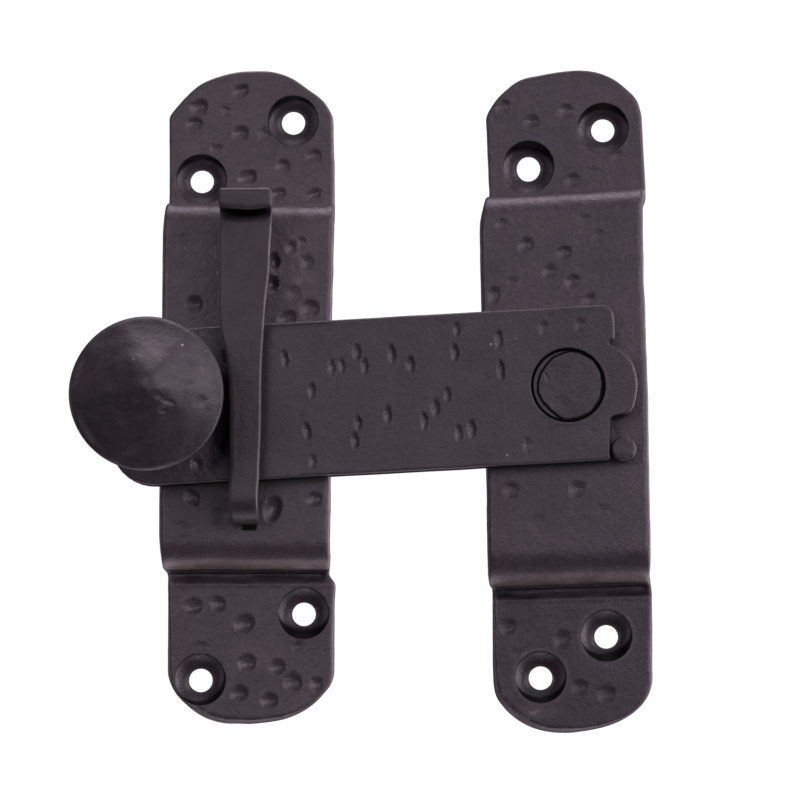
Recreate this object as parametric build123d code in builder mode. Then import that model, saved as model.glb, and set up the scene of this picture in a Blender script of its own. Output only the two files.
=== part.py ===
from build123d import *
import os
from math import acos, atan2, cos, degrees, hypot, radians, sin, tan

os.makedirs("parts", exist_ok=True)

# Cabinet drop-bar latch in black hammered iron.
# Millimetres. +X right, +Z up, the mounting plane is Y = 0 and the front faces -Y.
# The origin is midway between the pivot plate's two outer screw holes.

# ---- strip and bends -------------------------------------------------------
strip_t = 3.0            # thickness of both plates and of the catch strap
bridge_h = 6.5           # hollow behind each plate's raised middle
top_lean = 6.0           # degrees that the upper risers lean outwards towards their pads
bend_r = 0.8             # inside radius of the plates' sharper bends
outer_r = bend_r + strip_t
pad_y = -strip_t                     # front of the pads
raised_back_y = -bridge_h            # back of the raised middle
raised_y = -(bridge_h + strip_t)     # front of the raised middle

# ---- screw holes -----------------------------------------------------------
screw_r = 1.85           # clearance for a no. 6 wood screw
sink_r = 4.05            # countersink at the pad's face
sink_angle = 90.0

# ---- catch plate (left) ----------------------------------------------------
catch_foot_top = 31.47   # where the upper riser meets the pad's face
catch_foot_low = -28.00  # where the lower riser meets the pad's face
catch_low_lean = 12.0    # degrees that the lower riser leans
catch_low_r = 1.8        # inside radius of the lower crest bend
catch_left = [(-63.65, -43.00), (-63.70, -29.20), (-63.75, -27.60), (-64.35, -25.40), (-64.78, -21.50),
              (-64.45, 13.90), (-64.40, 23.40), (-64.25, 28.20), (-63.80, 30.40), (-63.66, 33.80), (-63.70, 45.60)]
catch_right = [(-37.60, 45.60), (-37.38, 33.80), (-37.28, 30.40), (-37.40, 23.40), (-37.66, 13.90),
               (-37.86, -14.40), (-37.90, -25.40), (-37.18, -28.60), (-37.36, -31.20), (-37.38, -43.00)]
catch_top_arc = [(-61.50, 48.27), (-58.60, 50.87), (-55.60, 52.09), (-52.40, 52.78), (-49.82, 52.86),
                 (-47.42, 52.78), (-44.30, 51.82), (-41.50, 49.87), (-39.10, 47.97)]
catch_low_arc = [(-39.03, -45.82), (-41.76, -48.32), (-44.28, -49.57), (-47.50, -50.32), (-50.00, -50.57),
                 (-52.40, -50.60), (-55.40, -50.42), (-58.55, -49.22), (-61.30, -47.07), (-62.90, -45.12)]
catch_outer = [(-44.01, 44.71), (-58.45, -43.74)]
catch_inner = [(-58.48, 35.36), (-42.23, -33.34)]

# ---- pivot plate (right), bent a little askew ------------------------------
pivot_skew = 2.4         # degrees that its bend lines rise to the right
pivot_foot_top = 33.20
pivot_foot_low = -29.94
pivot_low_lean = 16.0
pivot_low_r = 2.2
pivot_left = [(-12.45, -44.00), (-12.60, -29.90), (-13.33, -27.30), (-13.42, -21.50), (-13.52, -14.50),
              (-14.30, 13.85), (-14.55, 26.50), (-14.50, 29.40), (-14.05, 31.50), (-13.00, 33.80), (-13.50, 45.60)]
pivot_right = [(11.26, 45.60), (11.86, 33.80), (11.28, 31.00), (11.23, 26.40), (11.30, 18.50), (11.90, 0.60),
               (12.18, -21.50), (12.16, -27.20), (12.58, -29.60), (12.66, -44.00)]
pivot_top_arc = [(-11.95, 48.13), (-10.40, 49.75), (-8.10, 51.35), (-4.90, 52.13), (-1.75, 52.65), (1.48, 52.89),
                 (4.82, 52.33), (6.97, 51.33), (8.97, 49.73), (10.37, 48.28)]
pivot_low_arc = [(12.08, -45.86), (10.18, -48.36), (7.63, -50.16), (4.48, -51.31), (1.15, -51.91), (-2.00, -52.11),
                 (-5.15, -51.66), (-8.30, -50.26), (-10.55, -48.36), (-12.15, -45.86)]
pivot_outer = [(5.03, 43.42), (-5.03, -43.42)]
pivot_inner = [(-6.75, 37.29), (5.31, -36.94)]

# ---- bar -------------------------------------------------------------------
pivot_x, pivot_z = -0.72, 1.50       # rivet axis
bar_tilt = 3.12          # degrees, the knob end hangs lower at rest
bar_above = 12.33        # rivet axis to the bar's upper edge
bar_below = 12.02        # rivet axis to the bar's lower edge
bar_t = 4.0
bar_gap = 0.25           # bar to the raised middle behind it
bar_back_y = raised_y - bar_gap
bar_y = bar_back_y - bar_t           # front of the bar
bar_end = 72.0           # rivet axis to the knob end
bar_corner_r = 7.2
shoulder_up = 7.75       # rivet axis to the upper shoulder
shoulder_low = 6.12      # rivet axis to the lower shoulder
shoulder_r = 1.9         # rounding of the upper corner
lobe = [(7.45, 5.54), (8.36, 5.02), (9.56, 4.18), (10.27, 2.89), (10.71, 0.99), (10.78, -0.57),
        (10.45, -2.43), (10.07, -3.65), (9.55, -4.48), (8.58, -5.13), (7.33, -5.22)]   # half-round end of the eye
notch_up = (7.10, 6.20)  # inner corner under the upper shoulder
notch_low = (6.12, -5.50)
eye_r = 3.25             # bearing hole
eye_bore_r = 5.85        # counterbore at the face, for the rivet's head
eye_bore_h = 1.3
knob_hole_r = 2.2
knob_x, knob_z = -64.88, 0.45        # knob axis, along and across the bar

# ---- rivet and stop pin ----------------------------------------------------
rivet_r = 3.2
rivet_head_r = 5.55
rivet_head_gap = 0.08    # head to the floor of the counterbore
rivet_flats_h = 0.32     # height of the hammered flats on the head
rivet_y = bar_y + 0.08               # head just under the bar's face
rivet_flats = [(5.35, -0.4), (4.75, 2.5), (2.6, 4.75), (-0.6, 5.2), (-2.6, 4.3), (-4.3, 1.6),
               (-4.75, -1.1), (-3.0, -3.7), (-0.9, -5.2), (2.6, -4.75), (4.75, -2.5)]
rivet_tail_r = 4.9
rivet_tail_h = 2.0
pin_r = 1.95
pin_x, pin_z = 8.10, -10.30          # along and across the bar at rest
pin_y = -13.1
pin_shank_r = 1.25
pin_tail_r = 2.0
pin_tail_h = 0.9

# ---- catch strap -----------------------------------------------------------
strap_gap = 0.55         # bar to the strap in front of it
strap_back_y = bar_y - strap_gap
strap_y = strap_back_y - strip_t
lip_y = -21.3            # end of the lip
lip_top = 31.75
lip_in_r = 1.2
lip_corner_r = 1.2
foot_low = -19.95        # underside of the foot
foot_in_r = 0.8
strap_left = [(-55.12, lip_top), (-55.00, 28.10), (-55.15, 24.60), (-55.15, 16.20), (-54.90, 9.90), (-53.95, 5.20),
              (-53.45, 0.00), (-53.33, -7.30), (-53.35, -12.80), (-53.45, -15.10), (-53.30, -17.90), (-52.85, -20.60)]
strap_right = [(-46.74, lip_top), (-46.90, 28.10), (-46.95, 25.30), (-47.20, 21.60), (-47.60, 16.20), (-48.07, 9.90),
               (-48.40, 2.90), (-48.56, -7.30), (-48.78, -13.20), (-48.95, -17.00), (-48.90, -20.60)]
tenon_x = -50.50
tenon_w = 2.2
tenon_low = -19.70
tenon_high = -16.95
slot_w = 2.3
slot_low = -20.85
slot_high = -16.90
tenon_head_w = 4.4
tenon_head_z = 5.2
tenon_head_h = 1.5

# ---- knob ------------------------------------------------------------------
knob_r = 11.9
knob_rim_y = -31.9       # widest point
knob_apex_y = -39.2
neck_r = 2.7             # slim enough to swing past the strap's corner
neck_end_y = -22.3       # where the neck flares into the head


def hat_section(foot_top, foot_low, low_lean, reach):
    """Front and back lines of a bent plate, as (y, z) points, before bending radii."""
    up, low = tan(radians(top_lean)), tan(radians(low_lean))
    wall_up, wall_low = strip_t / cos(radians(top_lean)), strip_t / cos(radians(low_lean))

    def upper(y):
        return foot_top + (y - pad_y) * up

    def lower(y):
        return foot_low - (y - pad_y) * low

    front = [(pad_y, reach), (pad_y, foot_top), (raised_y, upper(raised_y)),
             (raised_y, lower(raised_y)), (pad_y, foot_low), (pad_y, -reach)]
    back = [(0, reach), (0, upper(0) - wall_up), (raised_back_y, upper(raised_back_y) - wall_up),
            (raised_back_y, lower(raised_back_y) + wall_low), (0, lower(0) + wall_low), (0, -reach)]
    return front, back


def bar_point(along, across):
    """A point given along and across the bar, in the part's X and Z."""
    a = radians(bar_tilt)
    return (pivot_x + along * cos(a) - across * sin(a), pivot_z + along * sin(a) + across * cos(a))


bar_dir = (cos(radians(bar_tilt)), 0, sin(radians(bar_tilt)))


def cap_mid(r, h):
    """A point half way round a spherical cap of that radius at its rim and that height: (radius, height)."""
    ball = (r * r + h * h) / (2 * h)
    half = atan2(r, ball - h) / 2
    return ball * sin(half), h - ball * (1 - cos(half))


def face_plane(x, y, z):
    """A plane facing the front at that point."""
    return Plane(origin=(x, y, z), x_dir=(1, 0, 0), z_dir=(0, -1, 0))


# ---------------------------------------------------------------------------
# catch plate: bent strip, cut to its outline, drilled and slotted
# ---------------------------------------------------------------------------
front, back = hat_section(catch_foot_top, catch_foot_low, catch_low_lean, 60)
with BuildPart() as catch_plate:
    with BuildSketch(Plane.YZ.offset(-51)):
        with BuildLine():
            f = FilletPolyline(*front, radius=[bend_r, outer_r, catch_low_r + strip_t, bend_r])
            b = FilletPolyline(*back, radius=[outer_r, bend_r, catch_low_r, outer_r])
            Line(f @ 0, b @ 0)
            Line(f @ 1, b @ 1)
        make_face()
    extrude(amount=20, both=True)
    with BuildSketch(Plane.XZ.offset(-1)):
        with BuildLine():
            Polyline(*catch_left)
            Spline(catch_left[-1], *catch_top_arc, catch_right[0])
            Polyline(*catch_right)
            Spline(catch_right[-1], *catch_low_arc, catch_left[0])
        make_face()
    extrude(amount=15, mode=Mode.INTERSECT)
    with Locations(*[face_plane(x, pad_y, z).location for x, z in catch_outer + catch_inner]):
        CounterSinkHole(radius=screw_r, counter_sink_radius=sink_r, depth=strip_t + 1, counter_sink_angle=sink_angle)
    with BuildSketch(Plane.XZ.offset(4)):
        with Locations((tenon_x, (slot_low + slot_high) / 2)):
            Rectangle(slot_w, slot_high - slot_low)
    extrude(amount=8, mode=Mode.SUBTRACT)
catch_plate.part.label = "catch_plate"
export_step(catch_plate.part, "parts/catch_plate.step")

# ---------------------------------------------------------------------------
# pivot plate: the same form, bent slightly askew, drilled for rivet and pin
# ---------------------------------------------------------------------------
front, back = hat_section(pivot_foot_top, pivot_foot_low, pivot_low_lean, 62)
skew_plane = Plane(origin=(0, 0, 0), x_dir=(0, 1, 0), z_dir=(cos(radians(pivot_skew)), 0, sin(radians(pivot_skew))))
pin_at = bar_point(pin_x, pin_z)
with BuildPart() as pivot_plate:
    with BuildSketch(skew_plane):
        with BuildLine():
            f = FilletPolyline(*front, radius=[bend_r, outer_r, pivot_low_r + strip_t, bend_r])
            b = FilletPolyline(*back, radius=[outer_r, bend_r, pivot_low_r, outer_r])
            Line(f @ 0, b @ 0)
            Line(f @ 1, b @ 1)
        make_face()
    extrude(amount=22, both=True)
    with BuildSketch(Plane.XZ.offset(-1)):
        with BuildLine():
            Polyline(*pivot_left)
            Spline(pivot_left[-1], *pivot_top_arc, pivot_right[0])
            Polyline(*pivot_right)
            Spline(pivot_right[-1], *pivot_low_arc, pivot_left[0])
        make_face()
    extrude(amount=15, mode=Mode.INTERSECT)
    with Locations(*[face_plane(x, pad_y, z).location for x, z in pivot_outer + pivot_inner]):
        CounterSinkHole(radius=screw_r, counter_sink_radius=sink_r, depth=strip_t + 1, counter_sink_angle=sink_angle)
    with Locations(face_plane(pivot_x, raised_y, pivot_z).location):
        Hole(radius=rivet_r + 0.02, depth=strip_t + 1)
    with Locations(face_plane(pin_at[0], raised_y, pin_at[1]).location):
        Hole(radius=pin_shank_r + 0.02, depth=strip_t + 1)
pivot_plate.part.label = "pivot_plate"
export_step(pivot_plate.part, "parts/pivot_plate.step")

# ---------------------------------------------------------------------------
# catch strap: lip, tapered upright, foot, tenon and its peened head
# ---------------------------------------------------------------------------
with BuildPart() as catch_strap:
    with BuildSketch(Plane.YZ.offset(-51)):
        with BuildLine():
            f = FilletPolyline((lip_y, lip_top - strip_t), (strap_y, lip_top - strip_t), (strap_y, foot_low), (raised_y, foot_low),
                               radius=[lip_in_r, foot_in_r + strip_t])
            b = FilletPolyline((lip_y, lip_top), (strap_back_y, lip_top), (strap_back_y, foot_low + strip_t), (raised_y, foot_low + strip_t),
                               radius=[lip_in_r + strip_t, foot_in_r])
            Line(f @ 0, b @ 0)
            Line(f @ 1, b @ 1)
        make_face()
    extrude(amount=12, both=True)
    # front outline, with the lip's two corners rounded off
    with BuildSketch(Plane.XZ.offset(5)) as strap_front:
        with BuildLine():
            Spline(*strap_left)
            Spline(*strap_right)
            Line(strap_left[0], strap_right[0])
            Line(strap_left[-1], strap_right[-1])
        make_face()
        fillet(strap_front.vertices().group_by(Axis.Y)[-1], radius=lip_corner_r)
    extrude(amount=20, mode=Mode.INTERSECT)
    # tenon through the plate, and the head that is peened behind it
    with BuildSketch(Plane.XZ.offset(-raised_y)):
        with Locations((tenon_x, (tenon_low + tenon_high) / 2)):
            Rectangle(tenon_w, tenon_high - tenon_low)
    extrude(amount=-strip_t)
    with BuildSketch(Plane(origin=(0, raised_back_y, 0), x_dir=(-1, 0, 0), z_dir=(0, 1, 0))):
        with Locations((-tenon_x, (slot_low + slot_high) / 2)):
            RectangleRounded(tenon_head_w, tenon_head_z, 1.0)
    extrude(amount=tenon_head_h, taper=20)
catch_strap.part.label = "catch_strap"
export_step(catch_strap.part, "parts/catch_strap.step")

# ---------------------------------------------------------------------------
# latch bar: outline with shoulders and lobe, counterbored eye, knob hole
# ---------------------------------------------------------------------------
bar_plane = Plane(origin=(pivot_x, bar_back_y, pivot_z), x_dir=bar_dir, z_dir=(0, -1, 0))
with BuildPart() as latch_bar:
    with BuildSketch(bar_plane) as bar_outline:
        with BuildLine():
            Polyline(lobe[0], notch_up, (shoulder_up, notch_up[1]), (shoulder_up, bar_above), (-bar_end, bar_above),
                     (-bar_end, -bar_below), (shoulder_low, -bar_below), notch_low, lobe[-1])
            Spline(*lobe)
        make_face()
        fillet(bar_outline.vertices().group_by(Axis.X)[0], radius=bar_corner_r)
        fillet(bar_outline.vertices().group_by(Axis.Y)[-1].sort_by(Axis.X)[-1:], radius=shoulder_r)
    extrude(amount=bar_t)
    with Locations(face_plane(pivot_x, bar_y, pivot_z).location):
        CounterBoreHole(radius=eye_r, counter_bore_radius=eye_bore_r, counter_bore_depth=eye_bore_h, depth=bar_t + 1)
    kx, kz = bar_point(knob_x, knob_z)
    with Locations(face_plane(kx, bar_y, kz).location):
        Hole(radius=knob_hole_r, depth=bar_t + 1)
    # small countersink at the back, where the knob's tenon is peened
    with Locations(Plane(origin=(kx, bar_back_y, kz), x_dir=(1, 0, 0), z_dir=(0, 1, 0)).location):
        CounterSinkHole(radius=knob_hole_r, counter_sink_radius=knob_hole_r + 0.9, depth=bar_t + 1, counter_sink_angle=90)
latch_bar.part.label = "latch_bar"
export_step(latch_bar.part, "parts/latch_bar.step")

# ---------------------------------------------------------------------------
# pivot rivet: many-sided flush head, shank, peened tail
# ---------------------------------------------------------------------------
head_back_y = bar_y + eye_bore_h - rivet_head_gap
head_y = rivet_y + rivet_flats_h
tail_mid = cap_mid(rivet_tail_r, rivet_tail_h - 0.5)
with BuildPart() as pivot_rivet:
    with BuildSketch(Plane.XY.offset(pivot_z)):
        with BuildLine():
            Polyline((pivot_x, head_y), (pivot_x + rivet_head_r, head_y), (pivot_x + rivet_head_r, head_back_y),
                     (pivot_x + rivet_r, head_back_y), (pivot_x + rivet_r, raised_back_y), (pivot_x + rivet_tail_r, raised_back_y),
                     (pivot_x + rivet_tail_r, raised_back_y + 0.5))
            ThreePointArc((pivot_x + rivet_tail_r, raised_back_y + 0.5), (pivot_x + tail_mid[0], raised_back_y + 0.5 + tail_mid[1]),
                          (pivot_x, raised_back_y + rivet_tail_h))
            Line((pivot_x, raised_back_y + rivet_tail_h), (pivot_x, head_y))
        make_face()
    revolve(axis=Axis((pivot_x, 0, pivot_z), (0, 1, 0)))
    # the head's hammered flats
    with BuildSketch(face_plane(pivot_x, head_y, pivot_z)):
        with BuildLine():
            Polyline(*rivet_flats, close=True)
        make_face()
    extrude(amount=rivet_flats_h)
pivot_rivet.part.label = "pivot_rivet"
export_step(pivot_rivet.part, "parts/pivot_rivet.step")

# ---------------------------------------------------------------------------
# stop pin: shouldered pin, riveted through the plate
# ---------------------------------------------------------------------------
with BuildPart() as stop_pin:
    with BuildSketch(Plane.XY.offset(pin_at[1])):
        with BuildLine():
            Polyline((pin_at[0], pin_y), (pin_at[0] + pin_r - 0.4, pin_y), (pin_at[0] + pin_r, pin_y + 0.4), (pin_at[0] + pin_r, raised_y),
                     (pin_at[0] + pin_shank_r, raised_y), (pin_at[0] + pin_shank_r, raised_back_y), (pin_at[0] + pin_tail_r, raised_back_y),
                     (pin_at[0] + pin_tail_r - 0.5, raised_back_y + pin_tail_h), (pin_at[0], raised_back_y + pin_tail_h), close=True)
        make_face()
    revolve(axis=Axis((pin_at[0], 0, pin_at[1]), (0, 1, 0)))
stop_pin.part.label = "stop_pin"
export_step(stop_pin.part, "parts/stop_pin.step")

# ---------------------------------------------------------------------------
# knob: peened tenon, slim neck, mushroom head with a low conical top
# ---------------------------------------------------------------------------
tail_r = knob_hole_r + 0.9
apex_mid = cap_mid(2.6, -38.45 - knob_apex_y)
with BuildPart() as knob:
    with BuildSketch(Plane.XY.offset(kz)):
        with BuildLine():
            Polyline((kx, bar_back_y), (kx + tail_r - 0.04, bar_back_y), (kx + knob_hole_r - 0.02, bar_back_y - 0.9),
                     (kx + knob_hole_r - 0.02, bar_y), (kx + neck_r, bar_y), (kx + neck_r, neck_end_y))
            Spline((kx + neck_r, neck_end_y), (kx + 3.3, -25.8), (kx + 5.8, -28.7), (kx + 10.4, -30.45),
                   tangents=((0, -1), (1, -0.12)))
            ThreePointArc((kx + 10.4, -30.45), (kx + knob_r, knob_rim_y), (kx + 11.3, -33.1))
            Line((kx + 11.3, -33.1), (kx + 2.6, -38.45))
            ThreePointArc((kx + 2.6, -38.45), (kx + apex_mid[0], -38.45 - apex_mid[1]), (kx, knob_apex_y))
            Line((kx, knob_apex_y), (kx, bar_back_y))
        make_face()
    revolve(axis=Axis((kx, 0, kz), (0, 1, 0)))
knob.part.label = "knob"
export_step(knob.part, "parts/knob.step")

# the bar's travel, from its rest on the pin to the upper shoulder's stop
rest_angle = degrees(atan2(pin_z, pin_x))
stop_angle = degrees(acos((shoulder_up + pin_r) / hypot(pin_x, pin_z)))
print("hinge axis through", pivot_x, pivot_z, "travel", round(stop_angle - rest_angle, 2), "degrees")
print("stop pin at", [round(v, 3) for v in pin_at], "knob axis at", round(kx, 3), round(kz, 3))
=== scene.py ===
import math

import bmesh
import bpy
import numpy as np
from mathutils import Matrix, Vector
from mathutils.geometry import delaunay_2d_cdt


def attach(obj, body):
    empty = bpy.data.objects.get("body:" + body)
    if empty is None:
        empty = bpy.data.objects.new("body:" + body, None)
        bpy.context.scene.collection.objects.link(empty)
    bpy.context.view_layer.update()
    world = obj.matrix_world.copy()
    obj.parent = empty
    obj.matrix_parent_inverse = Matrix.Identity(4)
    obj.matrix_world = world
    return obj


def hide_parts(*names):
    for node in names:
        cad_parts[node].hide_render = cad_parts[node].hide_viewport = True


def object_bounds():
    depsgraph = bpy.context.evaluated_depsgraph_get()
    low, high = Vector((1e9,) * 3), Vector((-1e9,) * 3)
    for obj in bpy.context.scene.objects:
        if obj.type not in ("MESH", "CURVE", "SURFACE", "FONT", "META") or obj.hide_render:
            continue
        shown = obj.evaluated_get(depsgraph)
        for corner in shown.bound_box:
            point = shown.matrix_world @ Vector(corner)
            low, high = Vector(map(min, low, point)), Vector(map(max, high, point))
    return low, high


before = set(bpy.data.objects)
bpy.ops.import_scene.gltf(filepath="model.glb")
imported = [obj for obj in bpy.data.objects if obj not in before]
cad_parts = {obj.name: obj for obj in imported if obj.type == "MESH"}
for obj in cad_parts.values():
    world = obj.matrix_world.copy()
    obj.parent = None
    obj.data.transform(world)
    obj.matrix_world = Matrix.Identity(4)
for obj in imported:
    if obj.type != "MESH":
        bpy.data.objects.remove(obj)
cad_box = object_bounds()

# Cabinet drop-bar latch in black hammered iron. Sizes below are in millimetres, in the part's frame:
# +X right, +Z up, the mounting plane is Y = 0 and the front faces -Y.
MM = 0.001

strip_t = 3.0
top_lean = math.radians(2.0)
pad_y, raised_y, raised_back_y = -3.0, -9.5, -6.5
pivot_x, pivot_z = -0.72, 1.50
bar_tilt = math.radians(3.12)
bar_back_y, bar_y = -9.75, -13.75


# ---------------------------------------------------------------------------
# seeded noise and small geometry helpers
# ---------------------------------------------------------------------------
_tables = {}


def noise(p, cell, seed):
    """Smooth noise from -1 to 1 at points p (n x 2 or n x 3), with features about one cell wide."""
    if seed not in _tables:
        _tables[seed] = np.random.default_rng(seed).uniform(-1, 1, (48, 48, 48))
    t = _tables[seed]
    p = np.asarray(p, float)
    if p.shape[1] == 2:
        p = np.c_[p, np.full(len(p), 0.37 * cell)]
    q = p / cell
    i = np.floor(q).astype(int)
    f = q - i
    f = f * f * f * (f * (f * 6 - 15) + 10)
    i %= 48
    j = (i + 1) % 48
    out = 0
    for a, wa in ((i[:, 0], 1 - f[:, 0]), (j[:, 0], f[:, 0])):
        for b, wb in ((i[:, 1], 1 - f[:, 1]), (j[:, 1], f[:, 1])):
            for c, wc in ((i[:, 2], 1 - f[:, 2]), (j[:, 2], f[:, 2])):
                out = out + t[a, b, c] * wa * wb * wc
    return out


def smoothstep(a, b, x):
    t = np.clip((x - a) / (b - a), 0, 1)
    return t * t * (3 - 2 * t)


def dense(points, step):
    """A closed loop with a point about every step along it."""
    points = np.asarray(points, float)
    out = []
    for a, b in zip(points, np.roll(points, -1, 0)):
        n = max(1, int(round(np.linalg.norm(b - a) / step)))
        out.append(a + (b - a) * (np.arange(n) / n)[:, None])
    return np.vstack(out)


def even(points, step):
    """A closed loop resampled to evenly spaced points."""
    p = np.vstack([points, points[:1]])
    d = np.r_[0, np.cumsum(np.linalg.norm(np.diff(p, axis=0), axis=1))]
    n = int(round(d[-1] / step))
    s = np.arange(n) / n * d[-1]
    return np.c_[np.interp(s, d, p[:, 0]), np.interp(s, d, p[:, 1])]


def soften(points, sigma, step):
    """A closed, evenly spaced loop with its corners rounded by a Gaussian of that width."""
    k = int(math.ceil(3 * sigma / step))
    w = np.exp(-0.5 * (np.arange(-k, k + 1) * step / sigma) ** 2)
    w /= w.sum()
    return sum(wi * np.roll(points, -o, 0) for wi, o in zip(w, range(-k, k + 1)))


def inward(loop):
    """Unit normals of a closed loop that point inside it."""
    t = np.roll(loop, -1, 0) - np.roll(loop, 1, 0)
    t /= np.linalg.norm(t, axis=1)[:, None]
    area = np.sum(loop[:, 0] * np.roll(loop[:, 1], -1) - loop[:, 1] * np.roll(loop[:, 0], -1))
    n = np.c_[-t[:, 1], t[:, 0]]
    return n if area > 0 else -n


def distance(p, loop):
    """Distance of each point from a closed loop."""
    a, b = loop, np.roll(loop, -1, 0)
    ab = b - a
    ll = (ab**2).sum(1)
    out = np.empty(len(p))
    for k in range(0, len(p), 2000):
        q = p[k:k + 2000, None, :] - a[None]
        t = np.clip((q * ab).sum(2) / ll, 0, 1)
        out[k:k + 2000] = np.sqrt((((q - t[..., None] * ab) ** 2).sum(2)).min(1))
    return out


def inside(p, loop):
    """Which points are inside a closed loop."""
    out = np.zeros(len(p), bool)
    x0, y0 = loop[:, 0], loop[:, 1]
    x1, y1 = np.roll(x0, -1), np.roll(y0, -1)
    for k in range(0, len(p), 4000):
        x, y = p[k:k + 4000, 0:1], p[k:k + 4000, 1:2]
        cross = (y0 > y) != (y1 > y)
        xi = x0 + (y - y0) * (x1 - x0) / np.where(y1 == y0, 1e-12, y1 - y0)
        out[k:k + 4000] = (cross & (x < xi)).sum(1) % 2 == 1
    return out


def arc3(a, m, b, n):
    """Points on the arc from a through m to b, ends included."""
    (ax, ay), (mx, my), (bx, by) = a, m, b
    d = 2 * (ax * (my - by) + mx * (by - ay) + bx * (ay - my))
    ux = ((ax**2 + ay**2) * (my - by) + (mx**2 + my**2) * (by - ay) + (bx**2 + by**2) * (ay - my)) / d
    uy = ((ax**2 + ay**2) * (bx - mx) + (mx**2 + my**2) * (ax - bx) + (bx**2 + by**2) * (mx - ax)) / d
    r = math.hypot(ax - ux, ay - uy)
    ta, tm, tb = (math.atan2(y - uy, x - ux) for x, y in (a, m, b))
    two = 2 * math.pi
    if (tm - ta) % two > (tb - ta) % two:
        tb = ta - (ta - tb) % two
    else:
        tb = ta + (tb - ta) % two
    t = np.linspace(ta, tb, n)
    return np.c_[ux + r * np.cos(t), uy + r * np.sin(t)]


class Bend:
    """Centre line of a bent strip in (y, z), with rounded corners. s runs along it, and the front is on its right hand."""

    def __init__(self, points, radii):
        p = [np.array(q, float) for q in points]
        pts, dirs = [], []

        def add(q, d):
            pts.append(q)
            dirs.append(d)

        unit = lambda v: v / np.linalg.norm(v)
        add(p[0], unit(p[1] - p[0]))
        for k in range(1, len(p) - 1):
            d0, d1 = unit(p[k] - p[k - 1]), unit(p[k + 1] - p[k])
            turn = math.atan2(d0[0] * d1[1] - d0[1] * d1[0], d0 @ d1)
            r = radii[k - 1]
            start = p[k] - d0 * r * math.tan(abs(turn) / 2)
            side = np.array([-d0[1], d0[0]]) * (1 if turn > 0 else -1)
            c = start + side * r
            for a in np.linspace(0, turn, 41):
                ca, sa = math.cos(a), math.sin(a)
                rot = np.array([[ca, -sa], [sa, ca]])
                add(c + rot @ (start - c), rot @ d0)
        add(p[-1], unit(p[-1] - p[-2]))
        self.p, self.d = np.array(pts), np.array(dirs)
        self.s = np.r_[0, np.cumsum(np.linalg.norm(np.diff(self.p, axis=0), axis=1))]

    def at(self, s):
        y, z = np.interp(s, self.s, self.p[:, 0]), np.interp(s, self.s, self.p[:, 1])
        dy, dz = np.interp(s, self.s, self.d[:, 0]), np.interp(s, self.s, self.d[:, 1])
        n = np.hypot(dy, dz)
        return y, z, dz / n, -dy / n

    def s_of_z(self, z):
        return np.interp(z, self.p[::-1, 1], self.s[::-1])


def hat(foot_top, foot_low, low_lean, low_crest, reach):
    """Centre line of a plate bent to a bridge: pad, riser, raised middle, riser, pad, from the top down."""
    low_lean = math.radians(low_lean)
    up_wall, low_wall = strip_t / math.cos(top_lean), strip_t / math.cos(low_lean)
    ym, yr = -1.5, -8.0
    up = lambda y: foot_top + (y - pad_y) * math.tan(top_lean) - up_wall / 2
    low = lambda y: foot_low - (y - pad_y) * math.tan(low_lean) + low_wall / 2
    return Bend([(ym, reach), (ym, up(ym)), (yr, up(yr)), (yr, low(yr)), (ym, low(ym)), (ym, -reach)], [2.1, 2.2, low_crest - 1.5, 2.0])


def curve(points, n):
    """A smooth curve through points, ends included, with n steps between each two of them."""
    q = np.asarray(points, float)
    d = np.r_[0, np.cumsum(np.linalg.norm(np.diff(q, axis=0), axis=1))]
    m = np.gradient(q, d, axis=0)
    x = np.unique(np.concatenate([np.linspace(a, b, n + 1) for a, b in zip(d, d[1:])]))
    k = np.clip(np.searchsorted(d, x) - 1, 0, len(d) - 2)
    h = (d[k + 1] - d[k])[:, None]
    t = ((x - d[k]) / (d[k + 1] - d[k]))[:, None]
    return ((2 * t**3 - 3 * t**2 + 1) * q[k] + (t**3 - 2 * t**2 + t) * h * m[k]
            + (3 * t**2 - 2 * t**3) * q[k + 1] + (t**3 - t**2) * h * m[k + 1])


# ---------------------------------------------------------------------------
# slabs: a face and a back triangulated over one outline, with walls between
# ---------------------------------------------------------------------------
class Hole:
    """A round hole, given by its centre, its bore and the ring radii around it on the face and on the back."""

    def __init__(self, u, v, bore, face_rings=(), back_rings=(), n=72, sink=0.0, back_sink=0.0):
        self.u, self.v, self.bore, self.n = u, v, bore, n
        self.rings = {"face": list(face_rings), "back": list(back_rings)}
        self.sink, self.back_sink = sink, back_sink
        self.loop = self.ring(bore)

    def ring(self, r, turn=0.0):
        a = (np.arange(self.n) + turn) / self.n * 2 * math.pi
        return np.c_[self.u + r * np.cos(a), self.v + r * np.sin(a)]

    def dist(self, p):
        return np.hypot(p[:, 0] - self.u, p[:, 1] - self.v)


class Cut:
    """A hole with any outline."""

    def __init__(self, loop):
        self.loop = loop
        self.rings = {"face": [], "back": []}


def triangulate(outline, holes, free):
    loops = [outline] + [h.loop for h in holes]
    pts, edges, start = [], [], []
    n = 0
    for lp in loops:
        start.append(n)
        pts.append(lp)
        edges += [(n + i, n + (i + 1) % len(lp)) for i in range(len(lp))]
        n += len(lp)
    allp = np.vstack(pts + [free])
    co, _, tri, orig, _, _ = delaunay_2d_cdt([Vector(q) for q in allp], edges, [], 1, 1e-7)
    co = np.array([(c[0], c[1]) for c in co])
    where = {}
    for k, src in enumerate(orig):
        for q in src:
            where[q] = k
    tri = np.array([t for t in tri if len(t) == 3])
    mid = co[tri].mean(1)
    keep = np.ones(len(tri), bool)
    for h in holes:
        keep &= ~inside(mid, h.loop)
    keep &= inside(mid, outline)
    tri = tri[keep]
    index = [np.array([where[s + i] for i in range(len(lp))]) for s, lp in zip(start, loops)]
    return co, tri, index


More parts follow.
